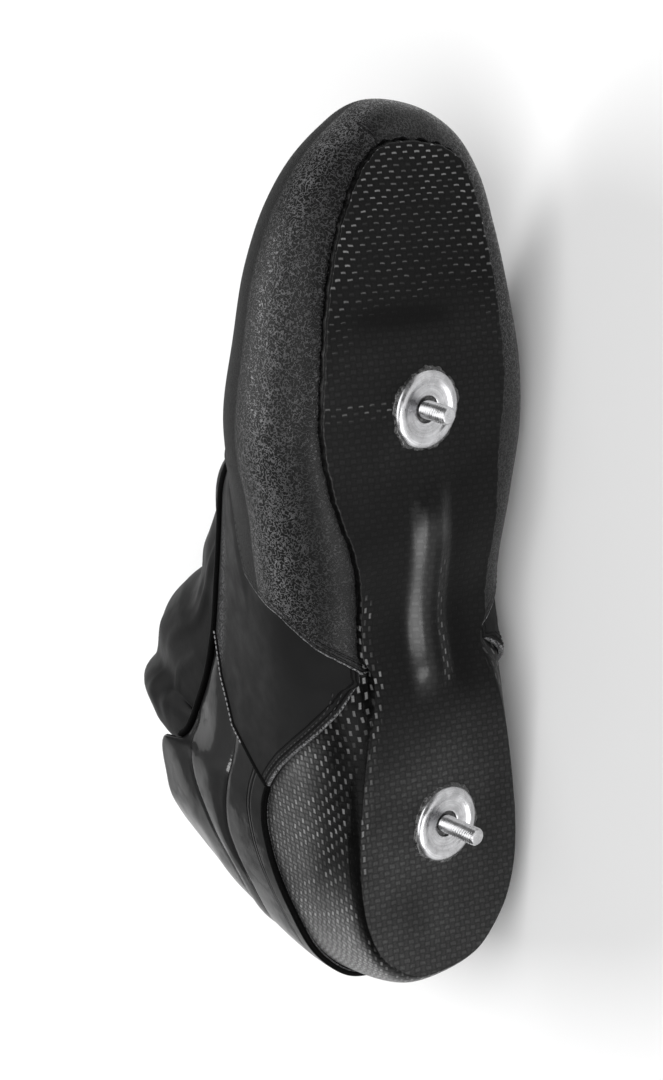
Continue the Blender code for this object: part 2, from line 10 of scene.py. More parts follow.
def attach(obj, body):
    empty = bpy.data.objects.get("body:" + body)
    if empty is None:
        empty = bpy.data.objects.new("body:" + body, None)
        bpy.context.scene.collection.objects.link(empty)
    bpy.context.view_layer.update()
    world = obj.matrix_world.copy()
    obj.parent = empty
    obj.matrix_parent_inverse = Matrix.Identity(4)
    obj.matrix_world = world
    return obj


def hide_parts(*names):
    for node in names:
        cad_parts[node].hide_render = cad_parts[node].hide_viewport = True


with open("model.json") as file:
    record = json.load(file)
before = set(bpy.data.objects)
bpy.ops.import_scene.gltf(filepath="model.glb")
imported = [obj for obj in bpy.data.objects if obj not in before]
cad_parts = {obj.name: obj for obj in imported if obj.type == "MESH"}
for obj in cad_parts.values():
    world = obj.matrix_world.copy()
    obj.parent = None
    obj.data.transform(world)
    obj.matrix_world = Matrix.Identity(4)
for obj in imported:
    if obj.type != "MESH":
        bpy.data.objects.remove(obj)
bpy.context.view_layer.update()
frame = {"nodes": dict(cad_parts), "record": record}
mm = 0.001
print("frame loaded:", len(frame["nodes"]), "CAD nodes")

studs = {
    "heelX": 49.0,
    "span": 140.0,
    "heelLength": 15.5,
    "ballLength": 11.0,
    "radius": 2.95,
    "pitch": 1.0,
    "threadDepth": 0.4,
    "chamfer": 0.6,
    "root": 1.9,  # how far the stud reaches into the plate
    "aroundSteps": 36,
    "rowsPerTurn": 6,
}
ballX = studs["heelX"] + studs["span"]


def unit(vector):
    return vector / np.linalg.norm(vector, axis=-1, keepdims=True)


def bootPlacement(record):
    mounts = {mount["name"]: mount for mount in record["mounts"]}
    up = -unit(np.array(mounts["heel_stud_end"]["axis"]))  # away from the sole, into the boot
    heel = np.array(mounts["heel_stud_end"]["pos_m"]) + up * studs["heelLength"] * mm
    ball = np.array(mounts["ball_stud_end"]["pos_m"]) + up * studs["ballLength"] * mm
    ahead = unit(ball - heel)
    inner = np.cross(up, ahead)
    return np.stack([ahead, inner, up], 1), heel - ahead * studs["heelX"] * mm


bootTurn, bootOrigin = bootPlacement(frame["record"])


def toWorld(points):
    return np.asarray(points, float) * mm @ bootTurn.T + bootOrigin  # boot millimetres to metres


cameraView = {
    "place": (509.43, -624.12, -726.0),  # boot millimetres
    "right": (-0.0547, 0.7647, -0.6420),
    "down": (-0.9339, -0.2667, -0.2381),
    "lens": 110.0,
}


def axesMatrix(side, top, back, place):
    matrix = Matrix.Identity(4)
    for row in range(3):
        matrix[row][0] = side[row]
        matrix[row][1] = top[row]
        matrix[row][2] = back[row]
        matrix[row][3] = place[row]
    return matrix


def makeCamera():
    right = bootTurn @ np.array(cameraView["right"])
    up = -(bootTurn @ np.array(cameraView["down"]))
    data = bpy.data.cameras.new("photoCamera")
    data.lens = cameraView["lens"]
    data.sensor_width = 36.0
    camera = bpy.data.objects.new("photoCamera", data)
    bpy.context.scene.collection.objects.link(camera)
    camera.matrix_world = axesMatrix(right, up, np.cross(right, up), toWorld(cameraView["place"]))
    bpy.context.scene.camera = camera


softboxes = {
    "key": {"place": (0.08, 1.09, 1.02), "size": (1.3, 0.32), "watts": 15.0},
    "overhead": {"place": (0.15, -0.6, 1.7), "size": (2.3, 1.6), "watts": 26.0},
    "behind": {"place": (-0.64, 1.21, 0.20), "size": (1.2, 0.34), "watts": 1.3},
    "frontLow": {"place": (-0.62, -1.22, 0.30), "size": (0.9, 0.5), "watts": 9.0},
}
studio = {
    "world": 0.15,
    "floorColour": (0.93, 0.93, 0.93, 1.0),
    "floorSize": 4.0,
    "aim": (0.0, 0.0, 0.05),  # where the softboxes point
}


def makeLights():
    for name, box in softboxes.items():
        data = bpy.data.lights.new(name, "AREA")
        data.shape = "RECTANGLE"
        data.size = box["size"][0]
        data.size_y = box["size"][1]
        data.energy = box["watts"]
        light = bpy.data.objects.new(name, data)
        bpy.context.scene.collection.objects.link(light)
        place = np.array(box["place"])
        back = unit(place - np.array(studio["aim"]))
        side = unit(np.cross((0.0, 0.0, 1.0) if abs(back[2]) < 0.95 else (0.0, 1.0, 0.0), back))
        light.matrix_world = axesMatrix(side, np.cross(back, side), back, place)
    world = bpy.data.worlds.new("studioWorld")
    world.use_nodes = True
    sky = world.node_tree.nodes["Background"]
    sky.inputs["Color"].default_value = (1.0, 1.0, 1.0, 1.0)
    sky.inputs["Strength"].default_value = studio["world"]
    bpy.context.scene.world = world
    bpy.context.scene.view_settings.view_transform = "Standard"


def makeFloor():
    half = studio["floorSize"] / 2
    mesh = bpy.data.meshes.new("floor")
    corners = [(-half, -half, 0), (half, -half, 0), (half, half, 0), (-half, half, 0)]
    mesh.from_pydata(corners, [], [(0, 1, 2, 3)])
    paper = bpy.data.materials.new("paperFloor")
    paper.use_nodes = True
    shader = paper.node_tree.nodes["Principled BSDF"]
    shader.inputs["Base Color"].default_value = studio["floorColour"]
    shader.inputs["Roughness"].default_value = 0.9
    shader.inputs["Specular IOR Level"].default_value = 0.1
    mesh.materials.append(paper)
    floor = bpy.data.objects.new("floor", mesh)
    bpy.context.scene.collection.objects.link(floor)


makeCamera()
makeLights()
makeFloor()
print("camera, softboxes and floor set")


class Finish:
    def __init__(self, name, **sockets):
        self.material = bpy.data.materials.new(name)
        self.material.use_nodes = True
        self.tree = self.material.node_tree
        self.shader = self.tree.nodes["Principled BSDF"]
        self.wear(**sockets)

    def wear(self, **sockets):
        names = {"colour": "Base Color", "rough": "Roughness", "metal": "Metallic", "coat": "Coat Weight",
                 "coatRough": "Coat Roughness", "spec": "Specular IOR Level", "sheen": "Sheen Weight",
                 "normal": "Normal", "coatNormal": "Coat Normal"}
        for key, value in sockets.items():
            self.feed(self.shader.inputs[names[key]], value)

    def feed(self, socket, value):
        if isinstance(value, bpy.types.NodeSocket):
            self.tree.links.new(value, socket)
        else:
            socket.default_value = value

    def node(self, kind, inputs=None, **settings):
        made = self.tree.nodes.new("ShaderNode" + kind)
        for key, value in settings.items():
            setattr(made, key, value)
        for key, value in (inputs or {}).items():
            self.feed(made.inputs[key], value)
        return made

    def place(self):
        return self.node("TexCoord").outputs["Object"]

    def attribute(self, name):
        stored = self.node("Attribute", attribute_name=name).outputs["Vector"]
        parts = self.node("SeparateXYZ", {"Vector": stored})
        return parts.outputs["X"], parts.outputs["Y"], parts.outputs["Z"]

    def maths(self, operation, first, second=0.0, clamp=False):
        made = self.node("Math", {0: first, 1: second}, operation=operation, use_clamp=clamp)
        return made.outputs["Value"]

    def times(self, *values):
        result = values[0]
        for value in values[1:]:
            result = self.maths("MULTIPLY", result, value)
        return result

    def total(self, *values):
        result = values[0]
        for value in values[1:]:
            result = self.maths("ADD", result, value)
        return result

    def noise(self, place, scale, detail=3.0, roughness=0.5):
        values = {"Vector": place, "Scale": scale, "Detail": detail, "Roughness": roughness}
        return self.node("TexNoise", values).outputs["Fac"]

    def specks(self, place, size, detail=3.0, roughness=0.5):
        return self.noise(place, 1.0 / (size * mm), detail, roughness)  # size in millimetres

    def cells(self, place, scale, feature="DISTANCE_TO_EDGE"):
        return self.node("TexVoronoi", {"Vector": place, "Scale": scale}, feature=feature).outputs["Distance"]

    def vector(self, operation, values):
        return self.node("VectorMath", values, operation=operation).outputs["Vector"]

    def stray(self, place, scale, reach):
        drift = self.node("TexNoise", {"Vector": place, "Scale": scale, "Detail": 2.0}).outputs["Color"]
        drift = self.vector("SUBTRACT", {0: drift, 1: (0.5, 0.5, 0.5)})
        drift = self.vector("SCALE", {0: drift, "Scale": reach})
        return self.vector("ADD", {0: place, 1: drift})

    def span(self, value, low, high, first=0.0, last=1.0, smooth=False):
        made = self.node("MapRange", {"Value": value, "From Min": low, "From Max": high,
                                      "To Min": first, "To Max": last})
        if smooth:
            made.interpolation_type = "SMOOTHSTEP"
        return made.outputs["Result"]

    def line(self, value, centre, width):
        away = self.maths("ABSOLUTE", self.maths("SUBTRACT", value, centre))
        return self.span(away, width * 0.35, width, 1.0, 0.0, True)

    def lines(self, value, centres, width):
        drawn = self.total(*[self.line(value, centre, width) for centre in centres])
        return self.maths("ADD", drawn, 0.0, True)

    def blend(self, share, first, second):
        made = self.node("Mix", data_type="RGBA")
        self.feed(made.inputs[0], share)
        self.feed(made.inputs[6], first)
        self.feed(made.inputs[7], second)
        return made.outputs[2]

    def bump(self, height, strength, distance, before=None):
        made = self.node("Bump", {"Height": height, "Strength": strength, "Distance": distance * mm})
        if before is not None:
            self.feed(made.inputs["Normal"], before)
        return made.outputs["Normal"]

    def less(self, value):
        return self.maths("SUBTRACT", 1.0, value)

    def tones(self, share, values):
        return self.blend(share, grey(values["dark"]), grey(values["light"]))

    def frayed(self, place, away, reach):
        fibre = self.span(self.noise(place, 1500.0, 3.0, 0.7), 0.40, 0.62)
        return self.times(self.span(away, 0.3, reach, 1.0, 0.0), fibre)


def grey(level):
    return (level, level, level * 1.02, 1.0)


grainedLeather = {
    "grainSize": 1.1, "grainDepth": 0.22, "wrinkleSize": 5.0, "wrinkleDepth": 0.14, "spec": 0.26,
    "dark": 0.001, "light": 0.165, "fray": 0.32, "rough": (0.20, 0.50), "rows": (1.4, 3.3), "rowWidth": 0.55,
}


def makeGrainedLeather(name, values):
    look = Finish(name, spec=values["spec"])
    place = look.place()
    rear, _, grainShare = look.attribute("panelPlace")
    # the third channel is a painted highlight band along the vamp's side, with painted shade towards the
    # throat rim
    creaseRun, creaseShare, paintedSheenBand = look.attribute("creaseAndSheenPlace")
    bent = look.stray(place, 420.0, 0.0012)
    ridge = look.line(look.specks(bent, values["grainSize"], 1.0), 0.5, 0.085)
    speck = look.span(look.specks(bent, values["grainSize"] / 2.3, 2.0), 0.3, 0.7)
    grain = look.span(look.total(look.times(ridge, 0.65), look.times(speck, 0.35)), 0.22, 0.88)
    wrinkle = look.specks(bent, values["wrinkleSize"], 4.0, 0.6)
    sewn = look.lines(rear, values["rows"], values["rowWidth"])
    crease = look.times(look.line(creaseRun, 0.0, 0.7), creaseShare)
    hollow = look.maths("MAXIMUM", sewn, crease)
    frayed = look.frayed(place, rear, 0.8)
    tone = look.times(grain, look.span(wrinkle, 0.3, 0.7, 0.4, 1.0))
    # grain tone times the painted band: lighter along the side's bulge and darker near the rim, as painted
    # light
    wearAndPaintedSheen = look.times(tone, grainShare, paintedSheenBand)
    colour = look.tones(wearAndPaintedSheen, values)
    # painted shade: the stitch grooves and the toe flap's crease are darkened in the base colour
    colour = look.blend(look.times(hollow, 0.85), colour, grey(0.001))
    look.wear(colour=look.blend(frayed, colour, grey(values["fray"])))
    roughs = values["rough"]
    glossy = look.span(tone, 0.15, 0.75, roughs[1], roughs[0])
    dullSides = look.span(grainShare, 0.0, 1.0, 0.62, 0.0)
    dull = look.maths("MAXIMUM", dullSides, look.span(paintedSheenBand, 0.1, 0.3, 0.7, 0.0))
    look.wear(rough=look.maths("MAXIMUM", glossy, dull))
    normal = look.bump(look.times(wrinkle, grainShare), 0.6, values["wrinkleDepth"])
    raised = look.times(grain, look.span(grainShare, 0.0, 1.0, 0.25, 1.0))
    normal = look.bump(raised, 0.9, values["grainDepth"], normal)
    look.wear(normal=look.bump(look.less(hollow), 0.9, 0.35, normal))
    return look.material


smoothLeather = {
    "poreSize": 0.5, "poreDepth": 0.035, "crinkleSize": 1.3, "crinkleDepth": 0.35, "spec": 0.10,
    "dark": 0.006, "light": 0.011, "fray": 0.25, "rough": (0.55, 0.7), "rows": (2.0, 4.0), "rowWidth": 0.5,
}


def makeSmoothLeather(name, values):
    look = Finish(name, spec=values["spec"])
    place = look.place()
    _, low, crinkleAndSheenShare = look.attribute("panelPlace")
    pore = look.specks(place, values["poreSize"], 3.0, 0.6)
    cloud = look.noise(place, 45.0, 3.0)
    bent = look.stray(place, 380.0, 0.0015)
    crinkleAndSheen = look.span(look.cells(bent, 1000.0 / values["crinkleSize"]), 0.0, 0.3, smooth=True)
    crinkledAndSheen = look.times(crinkleAndSheen, crinkleAndSheenShare)
    sewn = look.lines(low, values["rows"], values["rowWidth"])
    frayed = look.frayed(place, low, 0.9)
    colour = look.tones(cloud, values)
    # painted highlight: the crinkled strip below the throat edge is lightened in the base colour, as well as
    # bumped
    colour = look.blend(look.times(crinkledAndSheen, 0.7), colour, grey(0.13))
    # painted shade: the stitch grooves are darkened in the base colour
    colour = look.blend(look.times(sewn, 0.85), colour, grey(0.001))
    look.wear(colour=look.blend(frayed, colour, grey(values["fray"])))
    look.wear(rough=look.span(look.noise(place, 160.0, 4.0), 0.3, 0.7, *values["rough"]))
    normal = look.bump(pore, 0.5, values["poreDepth"])
    normal = look.bump(crinkledAndSheen, 0.8, values["crinkleDepth"], normal)
    look.wear(normal=look.bump(look.less(sewn), 0.9, 0.35, normal))
    return look.material


patentLeather = {
    "waveSize": 14.0, "waveDepth": 0.4, "peelSize": 2.4, "peelDepth": 0.010, "dark": 0.005, "light": 0.010,
    "rough": 0.34, "coatRough": 0.08, "spec": 0.07, "coat": 0.40, "scuffSize": 16.0,
    "rows": (8.1, 9.7), "rowWidth": 0.6, "seamWidth": 0.40,
}


def makePatentLeather(name, values):
    look = Finish(name, rough=values["rough"], coatRough=values["coatRough"], spec=values["spec"])
    place = look.place()
    _, low, _ = look.attribute("panelPlace")
    upper, lower, seamShare = look.attribute("seamPlace")
    wave = look.specks(place, values["waveSize"], 3.0, 0.55)
    peel = look.specks(place, values["peelSize"], 2.0)
    sewn = look.lines(low, values["rows"], values["rowWidth"])
    seams = look.total(look.line(upper, 0.0, values["seamWidth"]), look.line(lower, 0.0, values["seamWidth"]))
    hollow = look.maths("MAXIMUM", sewn, look.times(seams, seamShare))
    colour = look.tones(wave, values)
    scuff = look.span(look.specks(place, values["scuffSize"], 5.0, 0.65), 0.42, 0.53, 0.4, 1.0)
    # seams and stitch rows drawn dark: partly dark joints and stitches, partly painted shade in their grooves
    look.wear(colour=look.blend(hollow, colour, grey(0.0012)))
    look.wear(coat=look.times(scuff, look.span(hollow, 0.0, 0.8, values["coat"], 0.02)))
    normal = look.bump(wave, 0.6, values["waveDepth"])
    normal = look.bump(peel, 0.4, values["peelDepth"], normal)
    normal = look.bump(look.less(hollow), 0.8, 0.15, normal)
    look.wear(normal=normal, coatNormal=normal)
    return look.material


softLeather = {"poreSize": 0.6, "poreDepth": 0.05, "creaseSize": 11.0, "creaseDepth": 0.5, "spec": 0.06,
               "dark": 0.004, "light": 0.008, "rough": (0.40, 0.54)}


def makeSoftLeather(name, values):
    look = Finish(name, spec=values["spec"])
    place = look.place()
    pore = look.specks(place, values["poreSize"], 3.0, 0.6)
    crease = look.specks(place, values["creaseSize"], 4.0)
    look.wear(colour=look.tones(crease, values))
    look.wear(rough=look.span(crease, 0.3, 0.7, *values["rough"]))
    normal = look.bump(crease, 0.45, values["creaseDepth"])
    look.wear(normal=look.bump(pore, 0.5, values["poreDepth"], normal))
    return look.material


liningCloth = {"threadSize": 0.7, "dark": 0.008, "light": 0.022, "rough": 0.85}


def makeLiningCloth(name, values):
    look = Finish(name, rough=values["rough"], spec=0.15, sheen=0.1)
    place = look.place()
    knit = look.node("TexWave", {"Vector": place, "Scale": 320.0 / values["threadSize"], "Distortion": 2.0},
                     wave_type="BANDS", bands_direction="DIAGONAL").outputs["Fac"]
    tone = look.times(knit, look.noise(place, 900.0, 3.0))
    look.wear(colour=look.tones(tone, values))
    look.wear(normal=look.bump(tone, 0.6, 0.15))
    return look.material


cutLeather = {"fibreSize": 0.5, "dark": 0.008, "light": 0.13, "rough": 0.8, "spec": 0.2}
# near-black, for the bindings and for the dark tubes that stand in for shadow lines
blackBindingAndShadow = {"fibreSize": 0.4, "dark": 0.001, "light": 0.004, "rough": 0.6, "spec": 0.03}
sewingThread = {"fibreSize": 0.3, "dark": 0.012, "light": 0.045, "rough": 0.5, "spec": 0.2}
lightThread = {"fibreSize": 0.3, "dark": 0.16, "light": 0.42, "rough": 0.5, "spec": 0.2}
footbedFelt = {"fibreSize": 0.8, "dark": 0.035, "light": 0.075, "rough": 0.95, "spec": 0.2}


def makeFibres(name, values):
    look = Finish(name, rough=values["rough"], spec=values["spec"])
    fibre = look.specks(look.place(), values["fibreSize"], 4.0, 0.7)
    tone = look.span(fibre, 0.40, 0.66, smooth=True)
    look.wear(colour=look.tones(tone, values))
    look.wear(normal=look.bump(fibre, 0.6, 0.12))
    return look.material


soleCloth = {"dark": 0.001, "light": 0.036, "glint": 0.20, "weftWidth": 0.05, "warpWidth": 0.20,
             "rough": (0.28, 0.40), "spec": 0.10}
counterCloth = {"dark": 0.001, "light": 0.055, "glint": 0.20, "weftWidth": 0.05, "warpWidth": 0.20,
                "rough": (0.36, 0.50), "spec": 0.14}


def makeCarbonCloth(name, values):
    look = Finish(name, spec=values["spec"], coatRough=0.22)
    place = look.place()
    across, along, polish = look.attribute("clothPlace")  # in cells of the weave
    # the first two channels are painted glints; the third sets the base tone, with painted reflection and
    # painted shade in it
    weftGlint, warpGlint, toneAndPaintedLight = look.attribute("glint")
    across = look.total(across, look.span(look.noise(place, 130.0, 2.0), 0.3, 0.7, -0.14, 0.14))
    along = look.total(along, look.span(look.noise(place, 170.0, 2.0), 0.3, 0.7, -0.12, 0.12))
    row = look.maths("FLOOR", across)
    column = look.maths("FLOOR", along)
    columnAway = look.maths("ABSOLUTE", look.maths("SUBTRACT", look.maths("FRACT", along), 0.5))
    bow = look.times(columnAway, columnAway, -0.2)
    rowMiddle = look.total(bow, 0.51)
    rowAway = look.maths("ABSOLUTE", look.maths("SUBTRACT", look.maths("FRACT", across), rowMiddle))
    odd = look.maths("FLOORED_MODULO", look.total(row, column), 2.0)
    even = look.less(odd)
    thin = look.total(look.times(weftGlint, 0.09), values["weftWidth"])
    weft = look.span(look.maths("DIVIDE", rowAway, thin), 0.5, 1.5, 1.0, 0.0, True)
    weft = look.times(weft, look.span(columnAway, 0.34, 0.48, 1.0, 0.0, True), even, weftGlint)
    warp = look.span(columnAway, values["warpWidth"] * 0.6, values["warpWidth"] * 1.4, 1.0, 0.0, True)
    warp = look.times(warp, look.span(rowAway, 0.34, 0.47, 1.0, 0.0, True), odd, warpGlint)
    cell = look.node("CombineXYZ", {"X": row, "Y": column}).outputs["Vector"]
    chance = look.span(look.node("TexWhiteNoise", {"Vector": cell}).outputs["Value"], 0.05, 0.65, 0.12, 1.0)
    patch = look.span(look.noise(place, 62.0, 3.0), 0.34, 0.60, 0.4, 1.0)
    grain = look.span(look.noise(place, 1900.0, 2.0), 0.3, 0.7, 0.7, 1.15)
    shine = look.times(look.total(weft, warp), chance, patch, grain)
    weftTow = look.times(look.span(rowAway, 0.12, 0.45, 1.0, 0.0, True), even)
    weftTow = look.times(weftTow, look.span(columnAway, 0.38, 0.5, 1.0, 0.3))
    warpTow = look.times(look.span(columnAway, 0.1, 0.5, 0.45, 0.0), odd)
    tow = look.total(weftTow, warpTow)
    smudgeAndShade = look.span(look.noise(place, 34.0, 4.0, 0.6), 0.3, 0.7, 0.6, 1.35)
    # base colour: tone with painted reflection and painted shade from the third glint channel
    level = look.total(values["dark"], look.times(toneAndPaintedLight, values["light"] - values["dark"]))
    level = look.times(level, look.span(tow, 0.0, 1.0, 0.5, 1.3), smudgeAndShade, grain)
    # painted glints: the weave's bright dashes are added to the base colour
    look.wear(colour=look.total(level, look.times(shine, values["glint"])))
    look.wear(coat=look.times(polish, look.span(tow, 0.0, 1.0, 0.75, 1.0)))
    look.wear(rough=look.span(look.noise(place, 120.0, 3.0), 0.3, 0.7, *values["rough"]))
    look.wear(normal=look.bump(tow, 0.35, 0.12))
    return look.material


zincSteel = {"light": 0.74, "dark": 0.40, "rough": (0.18, 0.40), "ringPitch": 0.35}


def makeZincSteel(name, values):
    look = Finish(name, metal=1.0)
    around, radius, _ = look.attribute("turnPlace")  # turns round, millimetres out
    ring = look.node("CombineXYZ", {"X": look.maths("MULTIPLY", radius, 1.0 / values["ringPitch"]),
                                    "Y": look.maths("MULTIPLY", around, 3.0)}).outputs["Vector"]
    turned = look.noise(ring, 1.0, 3.0, 0.6)
    blotch = look.noise(look.place(), 260.0, 4.0, 0.6)
    tone = look.span(look.times(turned, blotch), 0.1, 0.42)
    look.wear(colour=look.tones(tone, values))
    look.wear(rough=look.span(blotch, 0.3, 0.7, *values["rough"]))
    look.wear(normal=look.bump(turned, 0.25, 0.05))
    return look.material


resinEdge = {"dark": 0.006, "light": 0.16, "speckSize": 1.1, "rough": (0.15, 0.4)}


def makeResin(name, values):
    look = Finish(name, coat=0.5, coatRough=0.1)
    speck = look.specks(look.place(), values["speckSize"], 4.0, 0.7)
    tone = look.span(speck, 0.52, 0.70, smooth=True)
    look.wear(colour=look.tones(tone, values))
    look.wear(rough=look.span(speck, 0.3, 0.7, *values["rough"]))
    look.wear(normal=look.bump(speck, 0.8, 0.3))
    return look.material


finish = {
    "grained": makeGrainedLeather("grainedLeather", grainedLeather),
    "smooth": makeSmoothLeather("smoothLeather", smoothLeather),
    "patent": makePatentLeather("patentLeather", patentLeather),
    "soft": makeSoftLeather("softTongueLeather", softLeather),
    "lining": makeLiningCloth("liningCloth", liningCloth),
    "cut": makeFibres("cutLeatherEdge", cutLeather),
    "bindingAndShadow": makeFibres("blackBindingAndShadow", blackBindingAndShadow),
    "thread": makeFibres("sewingThread", sewingThread),
    "lightThread": makeFibres("lightThread", lightThread),
    "felt": makeFibres("footbedFelt", footbedFelt),
    "soleCloth": makeCarbonCloth("soleCarbonCloth", soleCloth),
    "counterCloth": makeCarbonCloth("counterCarbonCloth", counterCloth),
    "steel": makeZincSteel("zincSteel", zincSteel),
    "resin": makeResin("resinEdge", resinEdge),
}
print("finishes made:", len(finish))

lastShape = {
    "archRise": 4.6,
    "archX": (84.0, 152.0),
    "toeSpring": 8.0,
    "toeSpringX": (204.0, 270.0),
    "ribHeight": 2.6,
    "ribHalfWidth": 9.5,
    "ribFlatShare": 0.15,
    "ribX": (92.0, 168.0),
    "carbonWall": 2.2,
    "gap": 0.3,
    "counterFrontX": 104.0,
    "counterLift": 8.0,
    "throatFrontX": 176.0,
    "throatRound": 24.0,
    "middleY": -2.2,
    "wideShare": 0.4,
    "wallLean": 1.45,
    "lastedMargin": 12.0,
    "lowerEdge": [
        (98.0, 6.2), (89.0, 13.4), (81.0, 22.2), (72.0, 32.0), (62.5, 40.0),
        (50.0, 43.6), (38.0, 42.0), (18.0, 35.0), (0.0, 30.5), (-15.0, 28.0),
    ],
    # sole x, out, in; widest x, out, in, z; top x, half, z; from the toe to the heel
    "sections": [
        (270.0, -2.0, -2.0, 281.0, 4.5, 4.5, 23.0, 250.0, 0.0, 48.5),
        (267.3, -9.8, 12.0, 277.0, -7.0, 19.0, 23.0, 249.0, 26.0, 48.8),
        (261.3, -16.4, 22.6, 268.5, -20.7, 31.0, 22.5, 246.0, 26.0, 49.6),
        (249.0, -25.0, 26.7, 255.0, -33.0, 39.5, 22.0, 240.0, 26.0, 51.2),
        (233.0, -31.8, 28.8, 237.0, -42.0, 44.5, 22.0, 228.0, 26.0, 54.0),
        (212.0, -36.6, 30.8, 213.0, -47.5, 49.5, 22.5, 209.0, 26.0, 58.2),
        (188.0, -38.9, 31.6, 188.0, -51.5, 53.7, 23.0, 188.0, 26.0, 63.4),
        (168.0, -35.5, 28.3, 168.0, -49.5, 53.7, 24.0, 170.0, 26.0, 66.0),
        (148.0, -29.0, 26.5, 148.0, -47.0, 48.5, 26.5, 148.0, 26.5, 68.8),
        (125.0, -25.0, 24.5, 125.0, -43.5, 45.0, 28.5, 124.0, 26.5, 73.0),
        (103.0, -26.5, 24.0, 103.0, -41.3, 43.0, 30.0, 100.0, 26.5, 78.0),
        (82.0, -32.3, 28.8, 82.0, -40.5, 38.0, 31.5, 78.0, 26.5, 86.5),
        (65.0, -35.8, 31.4, 65.0, -40.3, 35.5, 32.0, 60.5, 28.2, 97.0),
        (55.0, -37.2, 32.2, 55.0, -40.2, 35.0, 32.5, 57.5, 29.3, 107.6),
        (42.0, -38.0, 32.8, 42.0, -40.0, 34.8, 33.0, 43.5, 29.5, 107.6),
        (21.0, -35.5, 30.5, 18.5, -37.3, 32.3, 33.0, 30.0, 26.0, 106.6),
        (7.2, -28.3, 23.6, 0.0, -29.8, 25.2, 33.0, 18.5, 18.0, 106.0),
        (-1.6, -18.4, 14.0, -9.6, -19.6, 15.6, 33.0, 12.5, 9.0, 105.5),
        (-4.6, -2.5, -2.5, -13.0, -2.5, -2.5, 33.0, 10.5, 0.0, 105.5),
    ],
}


def easeStep(value, start, end):
    share = np.clip((value - start) / (end - start), 0.0, 1.0)
    return share * share * (3.0 - 2.0 * share)


def band(value, riseStart, riseEnd, fallStart, fallEnd):
    return easeStep(value, riseStart, riseEnd) * (1.0 - easeStep(value, fallStart, fallEnd))


def hump(value, middle, width, power=2):
    return np.exp(-(((value - middle) / width) ** power))


class SmoothCurve:
    def __init__(self, knots, rows):
        self.knots = np.asarray(knots, float)
        self.rows = np.asarray(rows, float)
        self.slopes = np.gradient(self.rows, self.knots, axis=0)

    def __call__(self, u):
        left = np.clip(np.searchsorted(self.knots, u, side="right") - 1, 0, len(self.knots) - 2)
        step = (self.knots[left + 1] - self.knots[left])[..., None]
        t = (u - self.knots[left])[..., None] / step
        return (
            self.rows[left] * (2 * t**3 - 3 * t**2 + 1)
            + self.slopes[left] * step * (t**3 - 2 * t**2 + t)
            + self.rows[left + 1] * (3 * t**2 - 2 * t**3)
            + self.slopes[left + 1] * step * (t**3 - t**2)
        )


def sectionLoop():
    table = np.array(lastShape["sections"])
    outer = table[:, [0, 1, 3, 4, 6, 7, 8, 9]].copy()
    inner = table[:, [0, 2, 3, 5, 6, 7, 8, 9]].copy()
    outer[:, 6] *= -1.0
    steps = [np.linalg.norm(np.diff(side[:, 2:4], axis=0), axis=1) for side in (outer, inner)]
    along = np.append(0.0, np.cumsum(np.mean(steps, axis=0)))
    knots = np.append(along, 2 * along[-1] - along[-2:0:-1])
    rows = np.vstack([outer, inner[-2:0:-1]])
    lap = 2 * along[-1]
    return SmoothCurve(np.concatenate([knots - lap, knots, knots + lap]), np.vstack([rows] * 3)), along


loopCurve, alongKnots = sectionLoop()
halfLap = alongKnots[-1]


def loopRows(u):
    return loopCurve(np.mod(u, 2 * halfLap))


def alongAt(x):
    return np.interp(-np.asarray(x, float), [-row[3] for row in lastShape["sections"]], alongKnots)


def toeDistance(u):
    u = np.mod(u, 2 * halfLap)
    return np.minimum(u, 2 * halfLap - u)


def soleHeight(x):
    arch = np.clip((x - lastShape["archX"][0]) / (lastShape["archX"][1] - lastShape["archX"][0]), 0.0, 1.0)
    start, end = lastShape["toeSpringX"]
    spring = np.clip((x - start) / (end - start), 0.0, None)
    return lastShape["archRise"] * np.sin(math.pi * arch) ** 2 + lastShape["toeSpring"] * spring**1.7


def ribDepth(x, y):
    back, front = lastShape["ribX"]
    reach = 1.0 - easeStep(np.abs(x - (back + front) / 2), (front - back) / 3, (front - back) / 2)
    half = lastShape["ribHalfWidth"]
    side = 1.0 - easeStep(np.abs(y), half * lastShape["ribFlatShare"], half)
    return lastShape["ribHeight"] * reach * side


def framePoints(u):
    soleX, soleY, wideX, wideY, wideZ, topX, topY, topZ = np.moveaxis(loopRows(u), -1, 0)
    front = lastShape["counterFrontX"]
    lift = lastShape["carbonWall"] + lastShape["gap"]
    lift = lift * easeStep(soleX, front - lastShape["counterLift"], front)
    start = lastShape["throatFrontX"] - lastShape["throatRound"]
    end = np.clip((topX - start) / lastShape["throatRound"], 0.0, 1.0)
    sole = np.stack([soleX, soleY, soleHeight(soleX) + lift], -1)
    wide = np.stack([wideX, wideY, wideZ], -1)
    top = np.stack([topX, lastShape["middleY"] + topY * np.sqrt(1.0 - end**2), topZ], -1)
    return sole, wide, top, end**2


def planOut(u, reach=0.5):
    run = loopRows(u + reach)[..., :2] - loopRows(u - reach)[..., :2]
    return -unit(np.stack([run[..., 1], -run[..., 0], np.zeros_like(run[..., 0])], -1))


